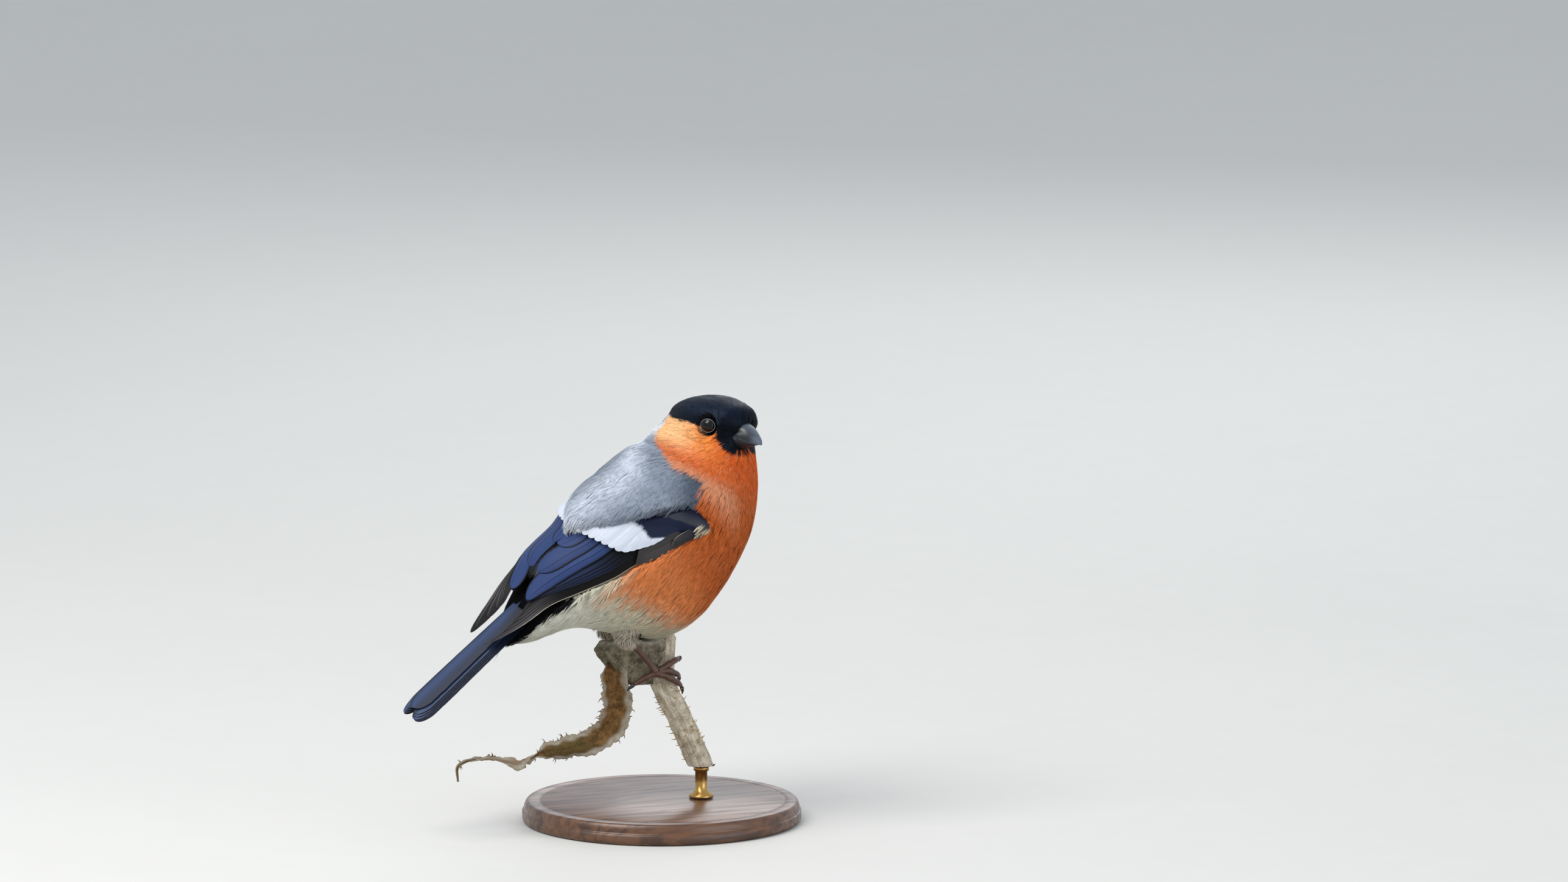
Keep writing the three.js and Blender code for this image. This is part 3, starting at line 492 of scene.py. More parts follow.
# Borders as |angle| in degrees and section number, or section number and |angle|
CAP_EDGE = [[0, 12.15], [25, 11.95], [38, 11.9], [47, 11.95], [53, 12.15], [57, 12.9], [64, 13.2], [75, 13.5],
            [79, 13.9], [98, 14.25], [123, 14.2], [150, 14.2], [180, 14.3]]
CHEEK_EDGE = [[88, 10.25], [102, 10.25], [111, 10.2], [118, 10.15], [125, 10.0], [131, 10.05], [136, 10.6],
              [138.5, 11.3], [139.5, 12.1], [141, 14.4], [180, 16]]
BREAST_EDGE = [[0, 128.5], [5.6, 122], [7.5, 120], [8.7, 110], [9.0, 106.5], [9.6, 106], [9.9, 102], [10.25, 97],
               [18, 95]]
BELLY_EDGE = [[0, 6.7], [43.5, 6.2], [49.5, 5.8], [67.5, 5.35], [82.5, 5.0], [93.5, 4.6], [105.5, 4.3], [110.5, 4.4],
              [115.5, 4.9], [128.5, 6.0], [180, 7]]
TAIL_COVERT_EDGE = [[0, 60], [0.8, 93], [1.5, 110], [3, 111], [18, 111]]
VENTRAL = 128.5
SECTION_MM = 6.0
DEGREE_MM = 0.42


def plumage_marks(u, angle, jitter):
    """Shares of cap, orange, belly, rump and black at a place of the body. jitter moves the borders, in millimetres."""
    a = np.abs(np.degrees(angle))
    cap = (u - level_at(CAP_EDGE, a)) * SECTION_MM * 0.8 + jitter * 0.5
    cheek = (u - level_at(CHEEK_EDGE, a)) * SECTION_MM
    breast = (level_at(BREAST_EDGE, u) - a) * DEGREE_MM
    orange = np.maximum(cheek, breast) + jitter
    belly = (level_at(BELLY_EDGE, a) - u) * SECTION_MM + jitter * 4
    ventral = (VENTRAL - a) * DEGREE_MM + jitter
    rump = np.minimum((5.0 - u) * SECTION_MM + jitter, (a - VENTRAL) * DEGREE_MM)
    black = np.minimum((3.05 - u) * SECTION_MM, (a - level_at(TAIL_COVERT_EDGE, u)) * 0.2) + jitter
    return {
        "cap": ease(cap, -0.4, 0.4), "orange": ease(orange, -0.6, 0.6),
        "belly": ease(belly, -5.5, 5.5) * ease(ventral, -1, 1), "rump": ease(rump, -1, 1),
        "black": ease(black, -0.4, 0.4),
    }


def plumage_colour(u, angle, jitter, palette):
    """The coat's colour at a place of the body, from the shares of its markings."""
    marks = plumage_marks(u, angle, jitter)
    a = np.abs(np.degrees(angle))
    # Painted light: the grey is painted lighter up the middle of the back and on the nape, where the light falls, and
    # darker down the sides, where shade falls.
    grey = blend(palette["mantle_low"], palette["mantle"], ease(a + 5 * jitter, 104, 140))
    grey = blend(grey, palette["mantle_top"], ease(a + 5 * jitter, 150, 184))
    grey = blend(grey, palette["nape"], ease(u, 11.0, 13.0))
    # The cheek is painted paler towards its rear: a painted highlight where the light falls.
    cheek = blend(palette["cheek_front"], palette["cheek_rear"], ease(a, 76, 112))
    breast = blend(palette["flank"], palette["breast"], ease(u, 6.0, 8.4))
    breast = blend(breast, palette["breast_high"], ease(u, 9.3, 10.2) * (1 - ease(u, 10.3, 10.9)) * ease(a, 50, 75))
    breast = blend(breast, palette["throat"], ease(u, 10.2, 11.2))
    orange = blend(breast, cheek, ease(u + 0.5 * jitter, 10.5, 12.7) * ease(a, 48, 78))
    white = blend(palette["belly"], palette["vent"], ease(u, 4.8, 2.6))
    colour = blend(grey, orange, marks["orange"])
    colour = blend(colour, white, marks["belly"])
    colour = blend(colour, palette["rump"], marks["rump"])
    # The crown's colour is partly the cap's real blue black and partly a painted blue sheen on top, where the light
    # falls; the face keeps the plain black.
    black = blend(palette["mask"], palette["crown"], ease(u, 13.9, 15.6))
    return blend(colour, black, np.maximum(marks["cap"], marks["black"]))


def coat_depth(u, angle):
    """How far the skin lies under the coat's surface: least on the face, most on the belly."""
    a = np.abs(np.degrees(angle))
    deep = 0.75 + 0.6 * ease(6.5 - u, 0, 1.5) * ease(136 - a, 0, 30)
    return deep + (0.55 - deep) * ease(u, 11.2, 13.2)


def on_surface(surface, u, angle):
    """Point and normal of the coat's surface at u and an angle, between the four nearest places of its grid."""
    rows, columns = surface["u"].shape
    i = np.clip(u / CROWN * (rows - 1), 0, rows - 1.001)
    j = (angle + np.pi) / FULL_TURN * columns
    low, left = np.floor(i).astype(int), np.floor(j).astype(int)
    f, g = (i - low)[..., None], (j - left)[..., None]
    left, right = left % columns, (left + 1) % columns
    found = []
    for key in ("point", "normal"):
        field = surface[key]
        found.append((field[low, left] * (1 - g) + field[low, right] * g) * (1 - f)
                     + (field[low + 1, left] * (1 - g) + field[low + 1, right] * g) * f)
    return found[0], unit(found[1])


def coat_lie(u, angle, point, normal):
    """The way the feathers lie: out from the bill over the head, then to the tail and a little down."""
    a = np.abs(np.degrees(angle))
    root = from_head(BILL_ROOT)
    outward = unit(point - root)
    away = np.linalg.norm(point - root, axis=-1)
    fall = (0.10 + 0.25 * ease(a, 76, 136) * ease(u, 3.0, 6.0))[..., None]
    rearward = unit(np.array([-1.0, 0, 0]) + fall * DOWN_IN_BODY)
    lie = blend(outward, rearward, ease(away, 17, 36))
    return laid(lie, normal)


# Coat of blades: each blade is a closed three-sided sliver from a ring at its root, over a middle ring, to its tip
STATIONS = np.array([0.0, 0.55, 1.0])
BLADE_QUADS = np.array([[j, 3 + j, 3 + (j + 1) % 3, (j + 1) % 3] for j in range(3)])
BLADE_TRIANGLES = np.array([[4, 3, 6], [5, 4, 6], [3, 5, 6], [0, 1, 2]])
PATCH = 0.003


def blade_points(root, lie, normal, length, width, depth, lift, bend):
    """Blades from roots under the coat's surface. The middle line follows an arc of the surface's own bend.

    Along it the height over the surface runs from minus depth at the root, by a square, to lift at the tip.
    Gives the points, and the directions in which they are shaded, which lean little so that the coat looks soft.
    """
    across = np.cross(normal, lie)
    s = STATIONS[None, :]
    round_ = np.where(np.abs(bend) < 1e-4, 1e-4, bend)[:, None]
    turned = round_ * length[:, None] * s
    height = -depth[:, None] * (1 - s) ** 2 + lift[:, None] * s
    middle = root[:, None] + lie[:, None] * (np.sin(turned) / round_)[..., None] + normal[:, None] * (
        height - (1 - np.cos(turned)) / round_)[..., None]
    over = normal[:, None] * np.cos(turned)[..., None] + lie[:, None] * np.sin(turned)[..., None]
    half = width[:, None] / 2 * np.array([0.75, 1.0])[None]
    out = across[:, None] * half[..., None]
    body = middle[:, :2]
    ridge = over[:, :2] * (half * 0.25)[..., None]
    rings = np.stack([body - out, body + ridge, body + out], 2).reshape(len(root), 6, 3)
    slant = np.array([-0.2, 0.0, 0.2])[None, None, :, None] * across[:, None, None]
    shading = (over[:, :2, None] + slant).reshape(len(root), 6, 3)
    points = np.concatenate([rings, middle[:, 2:]], 1)
    return np.stack([points, np.concatenate([shading, over[:, 2:]], 1)], 1)


def blade_mesh(name, blades, root_colour, tip_colour, place):
    """One piece of many blades: colours run from root to tip, and each blade has its own patch of the map."""
    points = body_place(blades[:, 0])
    shading = unit(body_place(blades[:, 0] + blades[:, 1]) - points)
    share = np.concatenate([np.repeat(STATIONS[:2], 3), [1.0]])
    colours = root_colour[:, None] + (tip_colour - root_colour)[:, None] * (share**0.7)[None, :, None]
    across = np.concatenate([np.tile([-0.5, 0.0, 0.5], 2), [0.0]])
    patch = np.stack([across, share - 0.5], -1)[None] * PATCH
    start = (np.arange(len(points)) * 7)[:, None, None]
    faces = [(BLADE_QUADS[None] + start).reshape(-1, 4), (BLADE_TRIANGLES[None] + start).reshape(-1, 3)]
    return put_mesh(name, points, faces, colours={"coat_colour": colours}, uvs={"OFBake": place[:, None] + patch},
                    normals=shading)


def skin_map(u, angle):
    """The skin's unwrap: the angle round it across the map and the section up it."""
    return np.stack([0.02 + 0.96 * (angle + np.pi) / FULL_TURN, 0.02 + 0.96 * u / CROWN], -1)


def eye_clearance(points):
    """Distance of points from the nearer line of sight of the two eyes."""
    away = [points - eye_centre(side) for side in SIDES.values()]
    sight = [np.maximum(a @ eye_axis(side), 0)[..., None] * eye_axis(side) for a, side in zip(away, SIDES.values())]
    return np.minimum(*(np.linalg.norm(a - b, axis=-1) for a, b in zip(away, sight)))


BLACK_RIM = [3.3, 3.7]
LID_REACH = 2.66


def eye_rimmed(colour, points, palette):
    """Colours turned to the cap's black close round the eyes."""
    return blend(colour, palette["mask"], 1 - ease(eye_clearance(points), *BLACK_RIM))


def inside_bill(points):
    """Whether points of the head's surface lie under the base of the bill."""
    place = to_head(points)
    row = along([[r[1], *r[2:]] for r in BILL], np.clip(place[..., 0], 2.5, 16.2))
    reach = np.where(place[..., 2] > row[..., 0], row[..., 1], row[..., 2])
    return (place[..., 0] > 3) & (
        (place[..., 1] / row[..., 3]) ** 2 + ((place[..., 2] - row[..., 0]) / reach) ** 2 < 0.8)


def coat_roots(surface, rng, count, wanted):
    """Places for clumps, even over the part of the coat's surface that is wanted and shows."""
    point = surface["point"]
    right = np.roll(point, -1, 1)
    area = np.linalg.norm(np.cross(point[1:] - point[:-1], (right - point)[:-1]), axis=-1)
    weight = (area * surface["shown"][:-1] * wanted[:-1]).ravel()
    cell = rng.choice(len(weight), count, p=weight / weight.sum())
    rows, columns = surface["u"].shape
    i = cell // columns + rng.random(count)
    j = cell % columns + rng.random(count)
    return i / (rows - 1) * CROWN, j / columns * FULL_TURN - np.pi


def coat_piece(name, surface, rng, blades, wanted, palette, look):
    """Clumps of blades that spread at the root and gather to wisps.

    look gives their length, width, lift and tone. Their colour is that of the place where they are seen, and blades
    that would stand in the eye's sight or off the surface are left out.
    """
    each = look["each"]
    u, angle = coat_roots(surface, rng, blades // each, wanted)
    point, normal = on_surface(surface, u, angle)
    keep = ~inside_bill(point)
    u, angle, point, normal = (v[keep] for v in (u, angle, point, normal))
    count = len(u)
    lie = coat_lie(u, angle, point, normal)
    across = np.cross(normal, lie)
    lie = unit(lie + across * rng.normal(0, look["wander"], count)[:, None])

    def spread(values):
        return np.repeat(values, each, axis=0)

    sideways = rng.uniform(-1, 1, (count, each))
    back = rng.uniform(-0.8, 0.8, (count, each))
    length = look["length"] * (1 + rng.normal(0, 0.14, (count, each))) * (1 + rng.normal(0, 0.08, (count, 1)))
    root = point[:, None] + (across[:, None] * sideways[..., None] + lie[:, None] * back[..., None]) * look["spread"]
    gather = (-sideways * look["spread"] * look["gather"] + rng.normal(0, 0.16, (count, each))) / length
    heading = unit(lie[:, None] + across[:, None] * gather[..., None]).reshape(-1, 3)
    root, length, normals = root.reshape(-1, 3), length.ravel(), spread(normal)
    near_eye = ease(eye_clearance(root + heading * length[:, None] * 0.6), LID_REACH, LID_REACH + 1.6)
    length = length * (0.4 + 0.6 * near_eye)
    seen_u, seen_angle = step_on(surface, spread(u), spread(angle), heading, length * 0.4)
    middle_normal = on_surface(surface, seen_u, seen_angle)[1]
    bend = np.clip(dot(middle_normal - normals, heading) / (length * 0.4), -0.02, 0.25)
    seen_u, seen_angle = step_on(surface, seen_u, seen_angle, heading, length * 0.35)
    colour = plumage_colour(seen_u, seen_angle, spread(rng.normal(0, look["border"], count)), palette)
    colour = eye_rimmed(colour, root + heading * length[:, None] * 0.3, palette)
    depth = spread(coat_depth(u, angle)) * rng.uniform(0.7, 1.0, len(root))
    lift = look["lift"] * rng.uniform(0.1, 1.3, len(root)) * (0.2 + 0.8 * near_eye)
    width = look["width"] * rng.uniform(0.7, 1.25, len(root))
    points = blade_points(root, heading, normals, length, width, depth, lift, bend)
    tone = spread(rng.normal(0, look["tone"], count)) + rng.normal(0, look["streak"], len(root))
    tip = colour * (1 + tone)[:, None]
    pale = look["pale"] * (rng.random(len(root)) < 0.16)[:, None]
    tip = np.clip(tip + (palette["belly"] - tip) * pale, 0, 1)
    end, over = on_surface(surface, *step_on(surface, seen_u, seen_angle, heading, length * 0.25))
    proud = dot(points[:, 0, 6] - end, over)
    clear = (eye_clearance(points[:, 0]).min(1) > LID_REACH) & (proud < 0.25 + look["lift"])
    place = skin_map(spread(u), spread(angle))
    return blade_mesh(name, points[clear], (tip * look["root_shade"])[clear], tip[clear], place[clear])


def step_on(surface, u, angle, heading, distance):
    """Sections and angles a short way along headings: the two steps whose sum is nearest to that way."""
    small = 1e-3
    here, _ = on_surface(surface, u, angle)
    by_u = (on_surface(surface, np.minimum(u + 0.05, CROWN - small), angle)[0] - here) / 0.05
    by_angle = (on_surface(surface, u, angle + 0.022)[0] - here) / 0.022
    uu, ua, aa = dot(by_u, by_u), dot(by_u, by_angle), dot(by_angle, by_angle)
    ru, ra = dot(by_u, heading) * distance, dot(by_angle, heading) * distance
    span = np.maximum(uu * aa - ua * ua, 1e-6)
    du = np.clip((ru * aa - ra * ua) / span, -0.9, 0.9)
    da = np.clip((ra * uu - ru * ua) / span, -0.5, 0.5)
    return np.clip(u + du, 0.02, CROWN - 0.02), angle + da


# Shader nodes

def add_node(tree, kind, values=None, **settings):
    """A node with its settings, and its sockets set to values or linked to other nodes' outputs."""
    made = tree.nodes.new(kind)
    for key, value in settings.items():
        setattr(made, key, value)
    for key, value in (values or {}).items():
        socket = made.inputs[key]
        if isinstance(value, bpy.types.NodeSocket):
            tree.links.new(value, socket)
        elif hasattr(value, "__len__") and len(value) == 3 and socket.type == "RGBA":
            socket.default_value = (*value, 1)
        else:
            socket.default_value = value
    return made


def mixed(tree, share, a, b, mode="MIX"):
    """The output of a colour mix of a and b."""
    return add_node(tree, "ShaderNodeMix", {0: share, 6: a, 7: b}, data_type="RGBA", blend_type=mode).outputs[2]


def maths(tree, operation, a, b=0.0, c=0.0):
    """The output of one step of arithmetic."""
    return add_node(tree, "ShaderNodeMath", {0: a, 1: b, 2: c}, operation=operation).outputs[0]


def times(tree, a, b):
    """The product of two values."""
    return maths(tree, "MULTIPLY", a, b)


def attribute(tree, name, kind="Fac"):
    """A value or colour that the mesh's points carry."""
    return add_node(tree, "ShaderNodeAttribute", attribute_name=name).outputs[kind]


def noise(tree, vector, scale, detail, **values):
    """The output of a noise texture."""
    sockets = {"Vector": vector, "Scale": scale, "Detail": detail, **values}
    return add_node(tree, "ShaderNodeTexNoise", sockets).outputs["Fac"]


def ramped(tree, value, low, high):
    """0 to 1 as a value goes from low to high, smoothly."""
    return add_node(tree, "ShaderNodeMapRange", {"Value": value, "From Min": low, "From Max": high},
                    interpolation_type="SMOOTHSTEP").outputs["Result"]


def group_ends(group, wants, gives):
    """The sockets of a group: names and kinds that it takes and gives, and its two end nodes."""
    for direction, sockets in (("INPUT", wants), ("OUTPUT", gives)):
        for label, kind, default in sockets:
            made = group.interface.new_socket(label, in_out=direction, socket_type=f"NodeSocket{kind}")
            if default is not None:
                made.default_value = default
    return group.nodes.new("NodeGroupInput"), group.nodes.new("NodeGroupOutput")


def mottle_group():
    """Mottling: a colour darkened in soft patches and fine grains, and the height of the grains."""
    found = bpy.data.node_groups.get("mottle")
    if found:
        return found
    group = bpy.data.node_groups.new("mottle", "ShaderNodeTree")
    start, end = group_ends(
        group,
        [("Colour", "Color", (0.5, 0.5, 0.5, 1)), ("Second", "Color", (0.2, 0.2, 0.2, 1)), ("Vector", "Vector", None),
         ("Patches", "Float", 200.0), ("Grains", "Float", 1500.0), ("Share", "Float", 0.5)],
        [("Colour", "Color", None), ("Height", "Float", None), ("Mask", "Float", None)],
    )
    outputs = start.outputs
    patches = noise(group, outputs["Vector"], outputs["Patches"], 3.0, Roughness=0.6)
    grains = noise(group, outputs["Vector"], outputs["Grains"], 4.0, Roughness=0.65)
    mask = ramped(group, maths(group, "ADD", times(group, patches, 0.6), times(group, grains, 0.4)), 0.36, 0.64)
    colour = mixed(group, times(group, mask, outputs["Share"]), outputs["Colour"], outputs["Second"])
    for key, value in (("Colour", colour), ("Height", grains), ("Mask", mask)):
        group.links.new(value, end.inputs[key])
    return group


def barb_group():
    """Barbs of a vane: slanting lines each way from the shaft, and masks of the shaft and the fringes."""
    found = bpy.data.node_groups.get("barbs")
    if found:
        return found
    group = bpy.data.node_groups.new("barbs", "ShaderNodeTree")
    start, end = group_ends(
        group,
        [("Place", "Vector", None), ("Share", "Vector", None), ("Shaft", "Float", 0.33), ("Barbs", "Float", 26.0)],
        [("Lines", "Float", None), ("Shaft", "Float", None), ("Fringe", "Float", None)],
    )
    place = add_node(group, "ShaderNodeSeparateXYZ", {0: start.outputs["Place"]})
    share = add_node(group, "ShaderNodeSeparateXYZ", {0: start.outputs["Share"]})
    from_shaft = maths(group, "ABSOLUTE", maths(group, "SUBTRACT", share.outputs["X"], start.outputs["Shaft"]))
    slant = maths(group, "ADD", place.outputs["Y"], times(group, from_shaft, -0.55))
    wobble = times(group, noise(group, start.outputs["Place"], 9.0, 2.0), 1.4)
    turned = maths(group, "ADD", times(group, slant, start.outputs["Barbs"]), wobble)
    lines = maths(group, "SINE", times(group, turned, FULL_TURN))
    side = maths(group, "ABSOLUTE", maths(group, "SUBTRACT", times(group, share.outputs["X"], 2.0), 1.0))
    for key, value in (("Lines", maths(group, "MULTIPLY_ADD", lines, 0.5, 0.5)),
                       ("Shaft", maths(group, "SUBTRACT", 1.0, ramped(group, from_shaft, 0.012, 0.03))),
                       ("Fringe", ramped(group, side, 0.84, 0.97))):
        group.links.new(value, end.inputs[key])
    return group


def new_material(name, **constants):
    """A material with its shader, and constants set on the shader's own sockets."""
    material = bpy.data.materials.new(name)
    material.use_nodes = True
    shader = material.node_tree.nodes["Principled BSDF"]
    for key, value in constants.items():
        socket = shader.inputs[key.replace("_", " ")]
        socket.default_value = (*value, 1) if socket.type == "RGBA" else value
    return material, material.node_tree, shader


def feed(tree, shader, colour, roughness=None, height=None, strength=0.3, distance=0.0001):
    """Link colour, roughness and height to the shader."""
    tree.links.new(colour, shader.inputs["Base Color"])
    if roughness is not None:
        tree.links.new(roughness, shader.inputs["Roughness"])
    if height is not None:
        bump = add_node(tree, "ShaderNodeBump", {"Strength": strength, "Distance": distance, "Height": height})
        tree.links.new(bump.outputs["Normal"], shader.inputs["Normal"])


def object_place(tree):
    return add_node(tree, "ShaderNodeTexCoord").outputs["Object"]


def spread_between(tree, value, low, high):
    """A value of 0 to 1 laid over low to high."""
    return add_node(tree, "ShaderNodeMapRange", {"Value": value, "To Min": low, "To Max": high}).outputs["Result"]


def mottle(tree, shader, rough, bump, distance, **values):
    """Mottle a surface, with roughness that follows the mottling and grains as its bumps. Gives the group's node."""
    made = add_node(tree, "ShaderNodeGroup", {"Vector": object_place(tree), **values}, node_tree=mottle_group())
    feed(tree, shader, made.outputs["Colour"], spread_between(tree, made.outputs["Mask"], *rough),
         made.outputs["Height"], bump, distance)
    return made


def plumage_material(name, rough, **constants):
    """Body feathers: the point colours, finely mottled and soft."""
    material, tree, shader = new_material(name, **constants)
    colour = attribute(tree, "coat_colour", "Color")
    mottle(tree, shader, rough, 0.25, 0.00008, Colour=colour, Patches=260.0, Grains=2600.0, Share=0.14,
           Second=mixed(tree, 1.0, colour, (0.62, 0.62, 0.64), "MULTIPLY"))
    return material


def mottled_material(name, colour, second, patches, grains, share, rough, bump, distance, **constants):
    """A surface of two mottled colours with grain, whose roughness follows its mottling."""
    material, tree, shader = new_material(name, **constants)
    made = mottle(tree, shader, rough, bump, distance, Colour=colour, Second=second, Patches=patches, Grains=grains,
                  Share=share)
    return material, tree, shader, made


def vane_material(name, shaft_tone, rough, gloss, **constants):
    """Feather vanes: web and edge colours from the points, with barbs, a shaft and fringes from the vane's own map."""
    material, tree, shader = new_material(name, **constants)
    web, edge = (attribute(tree, key, "Color") for key in ("web_colour", "edge_colour"))
    maps = {key: add_node(tree, "ShaderNodeUVMap", uv_map=f"vane_{key.lower()}").outputs["UV"]
            for key in ("Place", "Share")}
    barbs = add_node(tree, "ShaderNodeGroup", maps, node_tree=barb_group())
    lined = mixed(tree, times(tree, barbs.outputs["Lines"], 0.35), web,
                  mixed(tree, 1.0, web, (0.45, 0.45, 0.5), "MULTIPLY"))
    fringed = mixed(tree, barbs.outputs["Fringe"], lined, edge)
    shafted = mixed(tree, times(tree, barbs.outputs["Shaft"], 0.7), fringed,
                    mixed(tree, 1.0, fringed, shaft_tone, "MULTIPLY"))
    feed(tree, shader, shafted, spread_between(tree, barbs.outputs["Lines"], rough, rough + gloss),
         barbs.outputs["Lines"], 0.22, 0.00006)
    return material


# Skin

def thigh_rings(side, grow=0.0):
    """The feathered thigh, in the level frame: rings round a short bent path from the belly to the ankle."""
    ankle, palm = (on_side(side, p) for p in (ANKLE, PALM))
    down = unit(palm - ankle)
    path = smooth_path([ankle - down * 8 + [3, 0, 3], ankle - down * 3.6, ankle + down * 0.4],
                       THIGH_RINGS)
    radius = level_at([[0, 5.2], [0.45, 4.0], [0.8, 2.5], [1, 1.4]], np.linspace(0, 1, THIGH_RINGS)) + grow
    return tube_rings(path, radius, THIGH_SIDES)


SKIN_STEP = 3
SKIN_SHADE = 0.95
THIGH_RINGS = 16
THIGH_SIDES = 28


def make_skin(surface, palette):
    """The skin: the coat's surface sunk by the coat's depth, closed at both ends, with a sleeve over each thigh."""
    u, angle, surface_point, normal = (surface[key][::SKIN_STEP] for key in ("u", "angle", "point", "normal"))
    points = surface_point - normal * coat_depth(u, angle)[..., None]
    points[0] = surface_point[0]
    colour = plumage_colour(u, angle, 0 * u, palette)
    shade = np.clip(eye_rimmed(colour, surface_point, palette) * SKIN_SHADE, 0, 1)
    skin = closed_loft("skin", points, body_place, colours={"coat_colour": shade},
                       uvs={"OFBake": skin_map(u, angle)})
    sleeves = []
    for side in SIDES.values():
        rings = thigh_rings(side, -0.3)
        # The sleeve is the belly's white darkened: painted shade under the thigh feathers.
        tone = np.broadcast_to(palette["belly"] * 0.55, rings.shape)
        around, up = np.meshgrid(np.linspace(0, 1, rings.shape[1]), np.linspace(0, 1, rings.shape[0]))
        place = np.stack([0.3 + 0.02 * side + 0.01 * around, 0.02 * up], -1)
        sleeves.append(closed_loft("sleeve", rings, level_place, colours={"coat_colour": tone},
                                   uvs={"OFBake": place}))
    return joined_piece("skin", [skin, *sleeves])


def make_coat(surface, palette, settings):
    """All the coat's pieces, by kind of feather and side. A place's kind is that of where its blades are seen."""
    rng = np.random.default_rng(SEEDS["coat"])
    u, angle = surface["u"], surface["angle"]
    lie = coat_lie(u, angle, surface["point"], surface["normal"])
    seen_u, seen_angle = step_on(surface, u, angle, lie, 2.4)
    marks = plumage_marks(seen_u, seen_angle, 0 * u)
    cap, orange = marks["cap"] > 0.5, marks["orange"] > 0.5
    belly, rump = marks["belly"] > 0.5, np.maximum(marks["rump"], marks["black"]) > 0.5
    zones = {
        "cap": cap, "face": orange & ~cap & (u > 10.4), "breast": orange & ~cap & ~belly & (u <= 10.4),
        "belly": belly & ~rump, "rump": rump, "mantle": ~(cap | orange | belly | rump),
    }
    left = angle > 0
    pieces = []
    for label, wanted in zones.items():
        look = COAT_LOOKS[label]
        halves = {"_right": ~left, "_left": left} if len(look["blades"]) > 1 else {"": np.ones_like(left)}
        for blades, (ending, half) in zip(look["blades"], halves.items()):
            count = int(blades * settings.coat_density)
            piece = coat_piece(f"coat_{label}{ending}", surface, rng, count, (wanted & half).astype(float), palette,
                               look)
            pieces.append((piece, look["slot"]))
    return pieces


LOOK_KEYS = ("blades", "each", "length", "width", "lift", "spread", "gather", "wander", "tone", "streak", "root_shade",
             "border", "pale", "slot")
COAT_LOOKS = {label: dict(zip(LOOK_KEYS, row)) for label, row in {
    "cap": ([19800], 4, 3.0, 0.16, 0.07, 0.32, 0.3, 0.05, 0.14, 0.16, 0.8, 0.12, 0.0, "cap_feathers"),
    "face": ([17500, 10000], 5, 4.2, 0.145, 0.12, 0.42, 0.5, 0.04, 0.07, 0.07, 0.9, 0.18, 0.22, "breast_feathers"),
    "breast": ([19700, 12500], 6, 5.4, 0.18, 0.22, 0.6, 0.5, 0.05, 0.06, 0.06, 0.95, 0.4, 0.10, "breast_feathers"),
    "belly": ([13500, 8500], 6, 7.0, 0.20, 0.30, 0.75, 0.55, 0.10, 0.04, 0.05, 0.88, 0.5, 0.0, "pale_feathers"),
    "rump": ([9000], 6, 6.0, 0.25, 0.22, 0.65, 0.5, 0.05, 0.04, 0.05, 0.88, 0.3, 0.0, "pale_feathers"),
    "mantle": ([19700, 14500], 6, 5.2, 0.165, 0.10, 0.6, 0.3, 0.03, 0.025, 0.055, 0.92, 0.4, 0.08, "breast_feathers"),
}.items()}


# Legs and feet, in the level frame. The right foot's toes are listed from the palm to the claw's tip.
ANKLE = [-8.6, -8.2, -30.6]
PALM = [0.2, -8.0, -41.0]
TOES = [
    [[0.2, -8.0, -41.2], [3.4, -8.3, -42.4], [7.6, -7.0, -44.8], [10.4, -4.4, -47.2], [11.0, -3.0, -49.8]],
    [[0.4, -7.9, -40.6], [4.4, -7.6, -40.6], [8.2, -5.4, -42.4], [10.2, -2.6, -44.2], [9.8, -1.2, -46.6]],
    [[0.4, -7.9, -40.2], [4.0, -7.2, -38.8], [7.6, -5.6, -37.6], [10.4, -2.8, -37.4], [10.8, -1.0, -39.2]],
    [[0.0, -7.8, -41.0], [-2.4, -7.2, -41.8], [-5.2, -6.2, -43.4], [-7.6, -5.8, -44.8], [-9.8, -5.4, -46.8]],
]
LEFT_FOOT_SHIFT = [-1.2, 1.5, 1.2]
FOOT_MIRROR = -0.8
PAD_RADIUS = 1.45
SHANK_RINGS = 60
SHANK_SIDES = 26


def on_side(side, point):
    """A point of the right foot carried to the side asked for. The ankle is only mirrored."""
    x, y, z = point
    if side < 0:
        return np.array([x, y, z])
    if point is ANKLE:
        return np.array([x, -y, z])
    return np.array([x + LEFT_FOOT_SHIFT[0], 2 * FOOT_MIRROR - y + LEFT_FOOT_SHIFT[1], z + LEFT_FOOT_SHIFT[2]])


def scuted(length, sides, pitch, count, deep=0.07):
    """A factor for a ring's radius: steps along the length, each rising to its own front edge, over the upper side."""
    s = np.linspace(0, 1, count)[:, None] * length / pitch
    step = (s % 1.0) ** 1.6
    upper = 0.5 + 0.5 * np.cos(turns(sides) - np.pi / 2)[None]
    return 1 + deep * (step - 0.5) * (0.35 + 0.65 * upper)


TOE_RINGS = 52
TOE_SIDES = 24
CLAW_RINGS = 24


